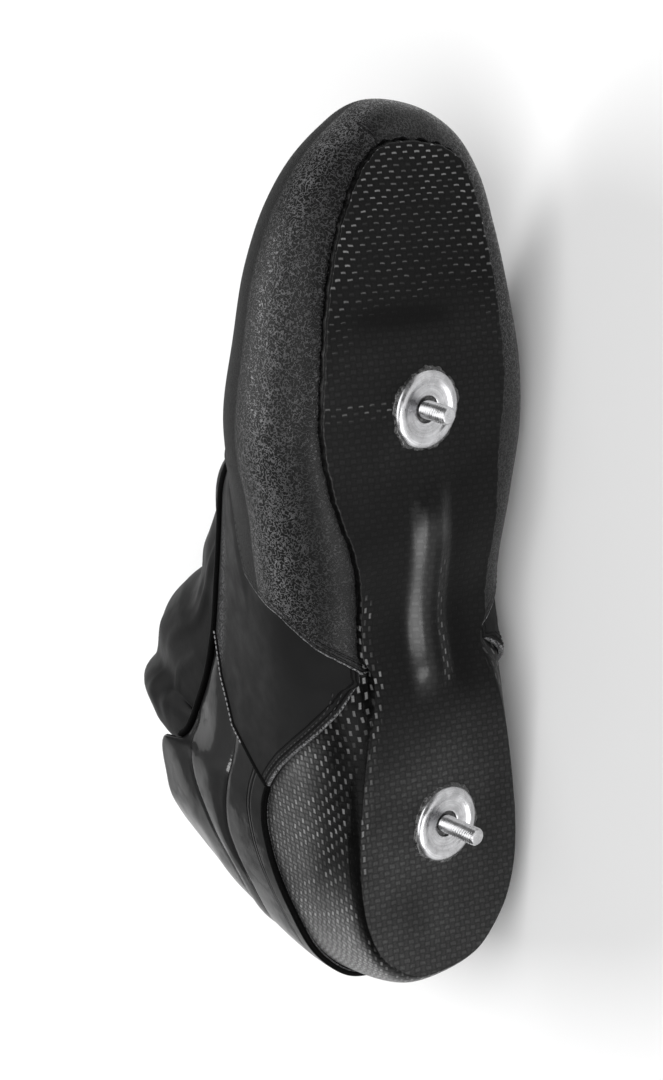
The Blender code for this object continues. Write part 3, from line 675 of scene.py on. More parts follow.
def lastPoint(u, v):
    sole, wide, top, closed = framePoints(u)
    wideShare = lastShape["wideShare"]
    turn = np.clip(v / wideShare, 0.0, 1.0) * math.pi / 2
    rise = np.clip((v - wideShare) / (1.0 - wideShare), 0.0, 1.0)
    level = closed * (1.0 - np.cos(rise * math.pi / 2)) + (1.0 - closed) * rise ** lastShape["wallLean"]
    height = closed * np.sin(rise * math.pi / 2) + (1.0 - closed) * rise
    lower = np.stack([np.sin(turn), np.sin(turn), 1.0 - np.cos(turn)], -1)
    upper = np.stack([level, level, height], -1)
    under = np.minimum(v, 0.0)[..., None] * lastShape["lastedMargin"] * planOut(u)
    under[..., 2] = soleHeight((sole + under)[..., 0]) - soleHeight(sole[..., 0])
    return sole + (wide - sole) * lower + (top - wide) * upper + under


def sideNormal(u, v):
    v = np.minimum(v, 0.996)
    along = lastPoint(u + 0.4, v) - lastPoint(u - 0.4, v)
    up = lastPoint(u, v + 0.004) - lastPoint(u, v - 0.004)
    return unit(np.cross(up, along))


def lastNormal(u, v):
    normal = sideNormal(u, v)
    ridge = ((framePoints(u)[3] >= 1.0) & (v > 0.999))[..., None]  # both sides meet on the ridge
    return np.where(ridge, unit(normal + sideNormal(-u, v)), normal)


def shareAtHeight(u, z):
    sole, wide, top, _ = framePoints(u)
    below = np.clip((z - sole[..., 2]) / (wide[..., 2] - sole[..., 2]), 0.0, 1.0)
    above = np.clip((z - wide[..., 2]) / (top[..., 2] - wide[..., 2]), 0.0, 1.0)
    wideShare = lastShape["wideShare"]
    return wideShare * np.arccos(1.0 - below) / (math.pi / 2) + (1.0 - wideShare) * above


def edgeShare(u):
    s = toeDistance(u)
    front = alongAt(lastShape["counterFrontX"])
    start = soleHeight(lastShape["counterFrontX"]) + lastShape["carbonWall"] + lastShape["gap"]
    places = np.append(front, [alongAt(x) for x, z in lastShape["lowerEdge"]])
    heights = np.append(start, [z for x, z in lastShape["lowerEdge"]])[:, None]
    height = SmoothCurve(places, heights)(np.clip(s, places[0], places[-1]))[..., 0]
    return np.where(s <= front, 0.0, shareAtHeight(u, height))


def seamAlong(seam, share):
    return alongAt(np.interp(share, [p[0] for p in seam], [p[1] for p in seam]))


def addPiece(name, points, faces, materials, slots=None, attributes=None, sharp=48.0):
    mesh = bpy.data.meshes.new(name)
    placed = toWorld(points)
    placed[:, 2] = np.maximum(placed[:, 2], 0.0)  # soft parts lie flat where they touch the floor
    mesh.from_pydata([tuple(p) for p in placed], [], [tuple(int(i) for i in f) for f in faces])
    for key, values in (attributes or {}).items():
        layer = mesh.attributes.new(key, "FLOAT_VECTOR", "POINT")
        layer.data.foreach_set("vector", np.asarray(values, np.float32).ravel())
    for material in materials:
        mesh.materials.append(material)
    if slots is not None:
        mesh.polygons.foreach_set("material_index", np.asarray(slots, np.int32))
    body = bmesh.new()
    body.from_mesh(mesh)
    bmesh.ops.remove_doubles(body, verts=body.verts, dist=0.002 * mm)
    bmesh.ops.dissolve_degenerate(body, edges=body.edges, dist=0.002 * mm)
    bmesh.ops.recalc_face_normals(body, faces=body.faces)
    body.to_mesh(mesh)
    body.free()
    mesh.shade_smooth()
    mesh.set_sharp_from_angle(angle=math.radians(sharp))
    piece = bpy.data.objects.new(name, mesh)
    bpy.context.scene.collection.objects.link(piece)
    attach(piece, "root")
    print("  piece", name, len(mesh.polygons), "faces")
    return piece


def quadRows(grid, following):
    corners = [grid[:, :-1], following[:, :-1], following[:, 1:], grid[:, 1:]]
    return np.stack(corners, -1).reshape(-1, 4)


def shellFaces(outer, start=0, wrap=False, topOpen=None, lowOpen=True):
    columns, rows = outer.shape[:2]
    grid = np.arange(columns * rows).reshape(columns, rows) + start
    inside = columns * rows
    following = np.roll(grid, -1, axis=0)
    count = columns if wrap else columns - 1
    quads = quadRows(grid[:count], following[:count])
    faces = [quads, quads[:, ::-1] + inside]
    slots = [np.zeros(len(quads), int), np.ones(len(quads), int)]
    rims = []
    if lowOpen:
        rims.append((grid[:count, 0], following[:count, 0]))
    isOpen = np.ones(columns, bool) if topOpen is None else topOpen
    keep = (isOpen | np.roll(isOpen, -1))[:count]
    rims.append((grid[:count, -1][keep], following[:count, -1][keep]))
    if not wrap:
        rims += [(grid[0, :-1], grid[0, 1:]), (grid[-1, :-1], grid[-1, 1:])]
    for first, second in rims:
        faces.append(np.stack([first, second, second + inside, first + inside], -1))
        slots.append(np.full(len(first), 2))
    return np.vstack(faces), np.concatenate(slots)


def addShell(name, blocks, materials, wrap=False, lowOpen=True, sharp=48.0):
    points = []
    faces = []
    slots = []
    layers = {}
    start = 0
    for block in blocks:
        outer = block["outer"]
        blockFaces, blockSlots = shellFaces(outer, start, wrap, block.get("topOpen"), lowOpen)
        if "slots" in block:
            blockSlots[:block["slots"].size] = block["slots"].ravel()
        points += [outer.reshape(-1, 3), block["inner"].reshape(-1, 3)]
        faces.append(blockFaces)
        slots.append(blockSlots)
        for key, values in block.get("attributes", {}).items():
            layer = np.stack(np.broadcast_arrays(*values), -1).reshape(-1, 3)
            layers.setdefault(key, []).extend([layer, layer])
        start += 2 * outer.shape[0] * outer.shape[1]
    attributes = {key: np.vstack(parts) for key, parts in layers.items()}
    slots = np.concatenate(slots)
    return addPiece(name, np.vstack(points), np.vstack(faces), materials, slots, attributes, sharp)


def addTubes(name, paths, material, sides=10, endSteps=3.0):
    turn = np.arange(sides) * 2 * math.pi / sides
    points = []
    faces = []
    start = 0
    for path, radius in paths:
        ahead = unit(np.gradient(path, axis=0))
        side = unit(np.cross(ahead, np.array([0.3, 0.2, 1.0])))  # no binding or shadow tube runs this way
        top = np.cross(side, ahead)
        ends = np.minimum(np.arange(len(path)), np.arange(len(path))[::-1])
        size = radius * np.sqrt(np.clip(ends / endSteps, 0.05, 1.0))[:, None, None]
        ring = side[:, None, :] * np.cos(turn)[None, :, None] + top[:, None, :] * np.sin(turn)[None, :, None]
        points.append((path[:, None, :] + ring * size).reshape(-1, 3))
        grid = np.arange(len(path) * sides).reshape(len(path), sides) + start
        following = np.roll(grid, -1, axis=1)
        faces.append(quadRows(grid.T, following.T))
        start += len(path) * sides
    piece = addPiece(name, np.vstack(points), np.vstack(faces), [material])
    return piece


def edgeRound(distance, radius):
    away = np.clip(1.0 - distance / radius, 0.0, 1.0)
    return radius * (1.0 - np.sqrt(1.0 - away**2))


def columnRuns(points):
    steps = np.linalg.norm(np.diff(points, axis=1), axis=2)
    low = np.concatenate([np.zeros((len(points), 1)), np.cumsum(steps, axis=1)], axis=1)
    return low, low[:, -1:] - low


def spreadColumns(first, last, count, fineFirst=True, fineLast=True):
    fine = np.array([0.0, 0.08, 0.2, 0.38, 0.62, 0.95])
    columns = [first + d for d in fine] if fineFirst else [first]
    low = columns[-1]
    ends = [last - d for d in fine[::-1]] if fineLast else [last]
    high = ends[0]
    columns += [low + (high - low) * i / count for i in range(1, count)]
    return np.array(columns + ends)


def fineShares(count):
    ends = np.array([0.0, 0.0015, 0.004, 0.008, 0.014])
    return np.concatenate([ends, np.linspace(0.022, 0.978, count), 1.0 - ends[::-1]])


panels = {
    # share of the height, x at the widest line
    "vampSeam": [
        (0.0, 107.0), (0.2, 116.5), (0.35, 127.0), (0.6, 136.0), (0.73, 160.0), (0.86, 184.0), (1.0, 198.0),
    ],
    "quarterSeam": [(0.0, 62.5), (0.09, 65.0), (0.56, 78.6), (0.83, 92.5), (1.0, 106.5)],
    "skin": 1.0,
    "wall": 2.0,
    "lap": 0.95,
    "lapRun": 16.0,
    "underLap": 9.0,
    "fullWallRun": 14.0,
    "edgeRadius": 0.45,
}


def panelEdge(seamName, share):
    return seamAlong(panels[seamName], np.clip(share, 0.0, 1.0))


def lapDip(behind):
    slope = panels["lap"] * (1.0 - easeStep(behind, 0.0, panels["lapRun"]))
    return np.where(behind < 0.0, panels["lap"] + 0.17, slope)


def skinDepth(distance):
    thicker = easeStep(distance, panels["underLap"] + 0.5, panels["fullWallRun"])
    return panels["skin"] + (panels["wall"] - panels["skin"]) * thicker


def addPanel(name, blocks, leather):
    piece = addShell(name, blocks, [leather, finish["lining"], finish["cut"]])
    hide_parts("upper")
    return piece


vampShape = {
    "columns": 300,
    "rows": 64,
    "fray": 0.16,
    "creaseV": (0.0, 0.05, 0.2, 0.28, 0.36),
    "creaseU": (3.0, 6.2, 11.0, 12.2, 13.5),  # the toe flap's outer fold
    "flapLift": 0.5,
    "flapRun": (0.0, 1.2, 24.0, 36.0),
    "flapV": (0.22, 0.36),
    "smoothV": (0.10, 0.26),  # the low side behind the ball has less grain
    "smoothX": (178.0, 205.0),
    # a painted highlight band along the side, falling to painted shade towards the rim
    "sheenBandV": 0.34,
    "sheenBandWidth": 0.085,
    "sheenBandFade": (0.41, 0.49),
}


def makeVamp():
    share = np.append([-0.4, -0.26, -0.12, -0.04], fineShares(vampShape["rows"]))
    edge = panelEdge("vampSeam", share)
    u = spreadColumns(-edge, edge, vampShape["columns"])
    v = np.broadcast_to(share, u.shape)
    rear = edge - np.abs(u)
    fray = vampShape["fray"] * (np.sin(v * 211.0) * np.sin(v * 83.0 + 1.0) + 0.6 * np.sin(v * 397.0 + 2.0))
    u = u + np.sign(u) * fray * np.clip(1.0 - rear, 0.0, 1.0)
    point = lastPoint(u, v)
    normal = lastNormal(u, v)
    creaseRun = np.interp(v, vampShape["creaseV"], vampShape["creaseU"]) - u
    flap = band(creaseRun, *vampShape["flapRun"]) * (1.0 - easeStep(v, *vampShape["flapV"]))
    lift = vampShape["flapLift"] * flap * easeStep(v, -0.02, 0.02)
    outer = point - normal * (edgeRound(rear, panels["edgeRadius"]) - lift)[..., None]
    inner = point - normal * skinDepth(rear)[..., None]
    closed = framePoints(u[:, -1])[3] >= 1.0
    smoothSide = 1.0 - easeStep(v, *vampShape["smoothV"])
    smoothSide = smoothSide * (1.0 - easeStep(point[..., 0], *vampShape["smoothX"]))
    grain = 1.0 - np.maximum(0.6 * smoothSide, 0.5 * flap)
    low, _ = columnRuns(point)
    creaseShare = 1.0 - easeStep(v, 0.24, 0.34)
    # painted light: lighter along the side's bulge, darker towards the rim
    paintedSheenBand = 0.36 + 0.64 * hump(v, vampShape["sheenBandV"], vampShape["sheenBandWidth"])
    paintedSheenBand = paintedSheenBand * (1.0 - 0.88 * easeStep(v, *vampShape["sheenBandFade"]))
    places = {"panelPlace": (rear, low, grain), "creaseAndSheenPlace": (creaseRun, creaseShare, paintedSheenBand)}
    block = {"outer": outer, "inner": inner, "topOpen": ~closed, "attributes": places}
    addPanel("vamp", [block], finish["grained"])


# the crinkle keys place a crinkled strip below the throat edge that also carries a painted highlight
quarterShape = {"columns": 90, "rows": 70, "crinkleAndSheenX": (78.0, 98.0, 138.0, 160.0), "crinkleAndSheenRun": (8.5, 5.0)}


def makeQuarters():
    share = fineShares(quarterShape["rows"])
    front = panelEdge("vampSeam", share)
    back = panelEdge("quarterSeam", share)
    s = spreadColumns(front - panels["underLap"], back, quarterShape["columns"], False, True)
    blocks = []
    for side in (1.0, -1.0):
        u = s * side
        low = edgeShare(u)
        v = low + (1.0 - low) * share
        point = lastPoint(u, v)
        normal = lastNormal(u, v)
        lowRun, topRun = columnRuns(point)
        closed = framePoints(u[:, -1])[3] >= 1.0
        topRun = np.where(closed[:, None], 99.0, topRun)
        outerDepth = lapDip(s - front) + edgeRound(back - s, panels["edgeRadius"])
        outerDepth += edgeRound(lowRun, 0.7) + edgeRound(topRun, 0.8)
        innerDepth = np.where(s < front + 2.0, panels["wall"], skinDepth(back - s))
        outer = point - normal * outerDepth[..., None]
        inner = point - normal * np.maximum(innerDepth, outerDepth + 0.3)[..., None]
        # the crinkled strip, bumped and lightened as a painted highlight
        crinkleAndSheen = hump(topRun, *quarterShape["crinkleAndSheenRun"]) * band(point[..., 0], *quarterShape["crinkleAndSheenX"])
        blocks.append({"outer": outer, "inner": inner, "topOpen": ~closed,
                       "attributes": {"panelPlace": (back - s, lowRun, crinkleAndSheen)}})
    addPanel("quarters", blocks, finish["smooth"])


collarShape = {
    "padding": 2.5,
    "paddingX": (104.0, 80.0),
    "paddingZ": (60.0, 80.0),
    "rimRadius": 2.1,
    # x, z along both seams
    "upperSeam": [
        (73.0, 88.0), (65.0, 90.0), (59.0, 88.5), (48.5, 86.0),
        (40.0, 81.0), (29.0, 75.5), (20.0, 70.5), (-15.0, 69.0),
    ],
    "lowerSeam": [
        (90.0, 59.0), (73.0, 61.0), (57.5, 63.8), (45.0, 66.6),
        (38.0, 66.8), (30.0, 64.2), (18.0, 59.2), (-15.0, 58.0),
    ],
    "seamDepth": 0.32,
    "seamWidth": 0.8,
    "puff": 0.5,
    "puffTop": 22.0,  # height of the swell above the upper seam
    "sewnHeight": (9.0, 6.2),  # double row above the lower edge, at the side and at the back
    "sewnX": (40.0, 2.0),
    "columns": 190,
    "rows": 84,
}


def seamHeight(seam, s):
    places = np.array([alongAt(x) for x, z in seam])
    heights = np.array([[z] for x, z in seam])
    return SmoothCurve(places, heights)(np.clip(s, places[0], places[-1]))[..., 0]


def makeCollar():
    share = fineShares(collarShape["rows"])
    front = panelEdge("quarterSeam", share)
    reach = panels["underLap"]
    u = spreadColumns(front - reach, 2 * halfLap - front + reach, collarShape["columns"], False, False)
    s = toeDistance(u)
    low = edgeShare(u)
    v = low + (1.0 - low) * share
    point = lastPoint(u, v)
    normal = lastNormal(u, v)
    z = point[..., 2]
    lowRun, topRun = columnRuns(point)
    behind = s - front
    upper = z - seamHeight(collarShape["upperSeam"], s)
    lower = z - seamHeight(collarShape["lowerSeam"], s)
    groove = sum(hump(away, 0.0, collarShape["seamWidth"]) for away in (upper, lower))
    middle = np.clip(lower / np.maximum(lower - upper, 4.0), 0.0, 1.0)
    above = np.clip(upper / collarShape["puffTop"], 0.0, 1.0)
    puff = np.sin(middle * math.pi) ** 2 + 0.8 * np.sin(above * math.pi) ** 2
    relief = collarShape["puff"] * puff - collarShape["seamDepth"] * groove
    relief = relief * easeStep(behind, 1.0, 9.0) * easeStep(topRun, 0.0, 6.0)
    rim = edgeRound(topRun, collarShape["rimRadius"])
    outerDepth = lapDip(behind) - relief + edgeRound(lowRun, 0.8) + rim
    padding = easeStep(s, *alongAt(collarShape["paddingX"])) * easeStep(z, *collarShape["paddingZ"])
    innerDepth = panels["wall"] + collarShape["padding"] * padding
    innerDepth = innerDepth - rim * padding
    outer = point - normal * outerDepth[..., None]
    inner = point - normal * np.maximum(innerDepth, outerDepth + 0.25)[..., None]
    atSide, atBack = collarShape["sewnHeight"]
    sewnScale = atSide / (atSide + (atBack - atSide) * easeStep(s, *alongAt(collarShape["sewnX"])))
    places = {"panelPlace": (behind, lowRun * sewnScale, 0.0), "seamPlace": (upper, lower, 1.0)}
    block = {"outer": outer, "inner": inner, "attributes": places}
    piece = addPanel("collar", [block], finish["patent"])


bindingsAndShadowLines = {
    # the throat tube is a binding set out past the rim and thickened, so it also stands in for the shadow gap
    # by the tongue
    "throatX": 63.0, "throatRadius": 1.3, "throatDepth": -0.2, "throatRise": 0.6,
    "lowerRadius": 1.2, "lowerDepth": 1.0,
    "rearRadius": 1.25, "rearInset": -0.2, "rearDepth": 0.75,
    # the toe tube is a painted shadow under the toe flap's edge
    "toeShadowU": (6.0, -44.0), "toeShadowV": 0.03, "toeShadowRadius": 0.75,
}


def surfaceRow(u, v, depth):
    return lastPoint(u, v) - lastNormal(u, v) * (depth + np.zeros_like(u))[..., None]


def quarterRear(side, inset, depth, share):
    u = side * (panelEdge("quarterSeam", share) - inset)
    low = edgeShare(u)
    return surfaceRow(u, low + (1.0 - low) * share, depth)


def makeBindingsAndShadowLines():
    # throat binding, also standing in for the shadow gap beside the tongue
    reach = np.linspace(float(alongAt(lastShape["throatFrontX"])), float(alongAt(bindingsAndShadowLines["throatX"])), 170)
    u = np.concatenate([reach[::-1], -reach])
    rim = np.ones_like(u)
    throat = surfaceRow(u, rim, bindingsAndShadowLines["throatDepth"])
    throat = throat + unit(lastPoint(u, rim) - lastPoint(u, rim - 0.02)) * bindingsAndShadowLines["throatRise"]
    start = float(alongAt(panels["quarterSeam"][0][1])) - 1.0
    u = np.linspace(start, 2 * halfLap - start, 260)
    lower = surfaceRow(u, edgeShare(u) + 0.008, bindingsAndShadowLines["lowerDepth"])
    # painted shadow: a dark tube along the plate's front edge, under the toe flap's edge
    u = np.linspace(*bindingsAndShadowLines["toeShadowU"], 90)
    ragged = 0.25 * np.sin(u * 1.7) * np.sin(u * 0.6 + 1.0)
    toe = surfaceRow(u, bindingsAndShadowLines["toeShadowV"] + 0.01 * np.sin(u * 0.9), -0.1 + ragged)
    paths = [
        (throat, bindingsAndShadowLines["throatRadius"]),
        (lower, bindingsAndShadowLines["lowerRadius"]),
        (toe, bindingsAndShadowLines["toeShadowRadius"]),
    ]
    share = np.linspace(0.0, 1.0, 120)
    for side in (1.0, -1.0):
        rear = quarterRear(side, bindingsAndShadowLines["rearInset"], bindingsAndShadowLines["rearDepth"], share)
        paths.append((rear, bindingsAndShadowLines["rearRadius"]))
    addTubes("bindingsAndShadowLines", paths, finish["bindingAndShadow"])


makeVamp()
makeQuarters()
makeCollar()
makeBindingsAndShadowLines()
print("leather panels made")

carbonShape = {
    "inset": 2.45,
    "lip": 1.5,
    "plateX": (105.0, 114.0),
    "spineX": (20.0, 246.0),
    "counterX": 110.0,
    "overlap": 9.0,
    "overlapRun": 10.0,
    "stripHeight": 5.5,
    "turn": 0.16,
    "edgeRound": 0.5,
    "plateColumns": 150,
    "counterColumns": 110,
    "rowCell": 2.17,
    "columnCell": 2.2,
    "skew": 0.17,
    "toeRows": 0.00155,  # rows lie closer towards the toe
}


glints = {
    "edgeRun": (2.0, 14.0),
    "wallClimb": (0.1, 0.8),
    "toeX": (221.0, 229.0),
    "toeEndX": (244.0, 268.0),
    "toeLevel": 0.42,
    "ballRow": (187.6, 188.6, 191.8, 192.8),  # two bright rows
    "ballY": (-15.0, -11.0),
    "sideX": (196.0, 222.0),
    "ribX": (94.0, 102.0, 136.0, 142.0),
    "ribY": (5.2, 1.9),  # middle, half width
    "waistX": (98.0, 104.0, 128.0, 136.0),
    "waistRun": (3.4, 4.6),
    "heelX": (30.0, 56.0, 98.0, 104.0),
    "heelRun": (2.0, 3.6),
    "stripX": (8.0, 40.0, 62.0, 100.0),  # bare black band above the sole's edge
    "stripHeight": 5.0,
    "stripFade": 2.0,
}
# levels of the carbon's base tone: the lighter heel sole and counter walls are painted reflection, partly
# resin haze; the dark band between ball and toe is painted shade
paintedLightTones = {
    "all": 0.12,
    "heel": 0.80,
    "heelX": (60.0, 100.0),
    "heelInnerY": (-5.0, 25.0),
    "ball": 0.12,
    "ballX": (160.0, 185.0, 205.0, 224.0),
    "smudgeAndShade": 0.2,
    "besideRib": 0.1,
    "besideRibX": (82.0, 96.0, 140.0, 160.0),
    "wearAndPaintedSheen": 1.8,  # the plate's rubbed edge, lightened also as a painted edge highlight
    "rearWall": 3.0,
    "rearWallX": (4.0, 50.0),
    "rearWallClimb": (2.0, 9.0),
    "upperWall": 1.6,
    "upperWallClimb": (12.0, 30.0),
    "most": 4.0,
}
ribGloss = {
    "x": (90.0, 102.0, 146.0, 156.0),
    "y": (-4.2, 4.2),  # middle, half width
    "hookX": (150.0, 5.0),
    "hookY": (0.5, 5.5),
    "most": 0.6,
}


# where the weave's painted glints lie: weft dashes at the toe and plate edges, warp dashes on the rib, waist,
# heel edge and counter
def weaveGlints(x, y, toEdge, climb, isCounter):
    nearEdge = 1.0 - easeStep(toEdge, *glints["edgeRun"])
    onPlate = 1.0 - easeStep(climb, *glints["wallClimb"])
    bright = np.maximum(nearEdge, easeStep(x, *glints["toeEndX"]))
    toe = easeStep(x, *glints["toeX"]) * (glints["toeLevel"] + (1.0 - glints["toeLevel"]) * bright)
    ball = band(x + carbonShape["skew"] * y, *glints["ballRow"]) * (1.0 - easeStep(y, *glints["ballY"]))
    sideRows = 0.35 * nearEdge * easeStep(x, *glints["sideX"])
    weft = (np.maximum(toe, sideRows) + 0.75 * ball) * onPlate
    rib = hump(y, *glints["ribY"], 4) * band(x, *glints["ribX"])
    waist = (1.0 - easeStep(toEdge, *glints["waistRun"])) * band(x, *glints["waistX"])
    heelRow = (1.0 - easeStep(toEdge, *glints["heelRun"])) * band(x, *glints["heelX"])
    strip = glints["stripHeight"] * band(x, *glints["stripX"])
    counter = isCounter * easeStep(climb, strip, strip + glints["stripFade"])
    outerSide = y < 0.0
    warp = 0.75 * rib + outerSide * (waist + 0.9 * heelRow * onPlate) + 0.9 * counter
    return weft, np.clip(warp, 0.0, 1.0)


# the carbon's base tone, with painted reflection and painted shade in it
def clothToneAndPaintedLight(x, y, toEdge, climb, isCounter):
    heel = 1.0 - easeStep(x, *paintedLightTones["heelX"])
    toneAndPaintedLight = paintedLightTones["all"] + paintedLightTones["heel"] * heel * (1.0 - 0.3 * easeStep(y, *paintedLightTones["heelInnerY"]))
    toneAndPaintedLight = toneAndPaintedLight + paintedLightTones["ball"] * band(x, *paintedLightTones["ballX"])
    # painted shade: a dark band across the sole between the ball and the toe
    toneAndPaintedLight = toneAndPaintedLight - paintedLightTones["smudgeAndShade"] * hump(x + carbonShape["skew"] * y, 218.5, 3.5) * hump(y, -6.0, 18.0, 4)
    toneAndPaintedLight = toneAndPaintedLight - paintedLightTones["besideRib"] * hump(y, 12.0, 6.0) * band(x, *paintedLightTones["besideRibX"])
    # the plate's edge is lightened: partly wear, partly a painted highlight along the edge
    wearAndPaintedSheen = (1.0 - easeStep(toEdge, 0.1, 0.5)) * (1.0 - easeStep(climb, 0.2, 0.7)) * (1.0 - isCounter)
    # painted reflection, partly resin haze: the counter's rear and upper wall are lightened
    rearWall = paintedLightTones["rearWall"] * (1.0 - easeStep(x, *paintedLightTones["rearWallX"]))
    rearWall = rearWall * easeStep(climb, *paintedLightTones["rearWallClimb"])
    upperWall = paintedLightTones["upperWall"] * easeStep(climb, *paintedLightTones["upperWallClimb"])
    onWall = isCounter * easeStep(climb, *glints["wallClimb"]) > 0.5
    toneAndPaintedLight = np.where(onWall, np.maximum(rearWall, upperWall), toneAndPaintedLight + paintedLightTones["wearAndPaintedSheen"] * wearAndPaintedSheen)
    return np.clip(toneAndPaintedLight, 0.0, paintedLightTones["most"])


def ribPolish(x, y):
    left = hump(y, *ribGloss["y"], 4) * band(x, *ribGloss["x"])
    hook = hump(x, *ribGloss["hookX"]) * hump(y, *ribGloss["hookY"], 4)
    return np.clip(0.6 * left + 0.5 * hook, 0.0, ribGloss["most"])


def wholeLap(side):
    return np.vstack([side, 2 * halfLap - side[-2:0:-1]])


def soleSpine(sole):
    spineX = np.clip(sole[..., 0], *carbonShape["spineX"])
    return np.stack([spineX, np.zeros_like(spineX), np.zeros_like(spineX)], -1)


def atHeight(points, z):
    return np.concatenate([points[..., :2], z[..., None]], -1)


def makeCarbonBase():
    counterStart = alongAt(carbonShape["counterX"])
    plate = np.linspace(0.0, counterStart, carbonShape["plateColumns"], endpoint=False)
    counter = np.linspace(counterStart, halfLap, carbonShape["counterColumns"] + 1)
    side = np.append(plate, counter)[:, None]
    u = wholeLap(side)
    sole = framePoints(u)[0]
    out = planOut(u)
    wall = lastShape["carbonWall"]
    rear = 1.0 - easeStep(sole[..., :1], *carbonShape["plateX"])
    ragged = 0.20 * np.sin(u * 1.9) * np.sin(u * 0.73 + 1.0) + 0.14 * np.sin(u * 4.3)
    lip = carbonShape["lip"] + ragged[..., None]
    edge = sole + out * (lip * (1.0 - rear) - carbonShape["inset"] * rear)
    innerEdge = edge - out * wall * rear

    spine = soleSpine(sole)
    shares = np.concatenate([np.linspace(0.0, 0.94, 30), [0.965, 0.982, 0.992]]).reshape(1, -1, 1)
    flatRows = shares.shape[1]
    bottom = spine + (edge - spine) * shares
    top = spine + (innerEdge - spine) * shares / shares.max()
    bottom = atHeight(bottom, soleHeight(bottom[..., 0]) - ribDepth(bottom[..., 0], bottom[..., 1]))
    top = atHeight(top, soleHeight(top[..., 0]) + wall)

    grown = np.clip((toeDistance(u) - counterStart) / carbonShape["overlapRun"], 0.0, 1.0)
    overlap = carbonShape["overlap"] * grown
    topHeight = lastPoint(u, edgeShare(u))[..., 2] + overlap
    wallShares = np.concatenate([[0.02, 0.05, 0.09], np.linspace(0.14, 1.0, 26)]).reshape(1, -1)
    v = shareAtHeight(u, topHeight) * wallShares
    wallU = np.repeat(u, v.shape[1], axis=1)
    turned = easeStep(v, 0.0, carbonShape["turn"])[..., None]
    outward = unit(lastNormal(wallU, np.maximum(v, 0.02)) * turned + planOut(wallU) * (1.0 - turned))
    face = lastPoint(wallU, v)
    rim = soleHeight(edge[..., 0])
    hasCounter = (overlap > 0.0)[..., None]
    climb = np.linspace(0.0, 1.0, v.shape[1]).reshape(1, -1)
    roundIn = edgeRound(climb * wall, carbonShape["edgeRound"]) + edgeRound((1.0 - climb) * wall, 0.4)
    plateSide = edge - out * roundIn[..., None]
    plateOuter = atHeight(plateSide, rim + 0.05 + climb * (wall - 0.06))
    plateInner = np.repeat(atHeight(edge, rim + wall), v.shape[1], axis=1)
    outerWall = np.where(hasCounter, face - outward * carbonShape["inset"], plateOuter)
    innerWall = np.where(hasCounter, face - outward * (carbonShape["inset"] + wall), plateInner)
    outer = np.concatenate([bottom, outerWall], axis=1)
    inner = np.concatenate([top, innerWall], axis=1)

    run, _ = columnRuns(outer)
    up = np.maximum(run - run[:, flatRows - 1:flatRows], 0.0)  # distance up the wall
    held = outer[..., :2].copy()
    held[:, flatRows:] = outer[:, flatRows - 1:flatRows, :2]
    cloth = held + out[..., :2] * up[..., None]  # the cloth laid flat
    across = (cloth[..., 0] + carbonShape["skew"] * cloth[..., 1]) / carbonShape["rowCell"] + 200.0
    across = across + carbonShape["toeRows"] * np.maximum(cloth[..., 0] - 232.0, 0.0) ** 2
    along = cloth[..., 1] / carbonShape["columnCell"] + 200.0
    toEdge = np.linalg.norm(outer[..., :2] - edge[..., :2], axis=-1)
    toEdge[:, flatRows:] = 0.0
    isCounter = np.broadcast_to(hasCounter[..., 0].astype(float), toEdge.shape)
    spots = (outer[..., 0], outer[..., 1], toEdge, up, isCounter)
    weft, warp = weaveGlints(*spots)
    slots = np.zeros((len(u), outer.shape[1] - 1), int)
    slots[:, flatRows - 1:] = np.where(up[:, flatRows:] > carbonShape["stripHeight"], 3, 0)
    polish = ribPolish(outer[..., 0], outer[..., 1])
    places = {"clothPlace": (across, along, polish), "glint": (weft, warp, clothToneAndPaintedLight(*spots))}
    block = {"outer": outer, "inner": inner, "slots": slots, "attributes": places}
    materials = [finish["soleCloth"]] * 3 + [finish["counterCloth"]]
    piece = addShell("carbonBase", [block], materials, True, False, 40.0)
    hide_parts("carbon_base")


makeCarbonBase()
print("carbon base made")

footbedShape = {
    "wall": 3.0, "inset": 1.5, "heelLift": 2.0, "marginX": (105.5, 108.5), "stepRun": 12.0, "columns": 130,
}


def makeFootbed():
    side = np.linspace(0.0, halfLap, footbedShape["columns"] + 1)[:, None]
    u = wholeLap(side)
    sole = framePoints(u)[0]
    back, front = footbedShape["marginX"]
    rear = 1.0 - easeStep(sole[..., :1], carbonShape["plateX"][0], front)
    wall = lastShape["carbonWall"]
    gap = lastShape["gap"]
    inset = footbedShape["inset"] * (1.0 - rear) + (carbonShape["inset"] + wall + gap) * rear
    edge = sole - planOut(u) * inset
    spine = soleSpine(sole)
    shares = np.concatenate([np.linspace(0.0, 0.93, 16), [0.96, 0.98, 0.993, 1.0]]).reshape(1, -1, 1)
    flat = spine + (edge - spine) * shares
    seat = soleHeight(flat[..., 0]) + wall + gap
    onMargin = easeStep(flat[..., 0], back - footbedShape["stepRun"], back)
    lowZ = seat + (panels["wall"] + 2 * gap) * onMargin
    away = np.linalg.norm(edge - flat, axis=-1)
    topZ = seat + panels["wall"] + 2 * gap + footbedShape["wall"]
    topZ = topZ + footbedShape["heelLift"] * (1.0 - onMargin) - edgeRound(away, 1.2)
    sides = {"outer": atHeight(flat, lowZ), "inner": atHeight(flat, topZ)}
    piece = addShell("footbed", [sides], [finish["felt"]] * 3, True, False)
    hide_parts("insole")


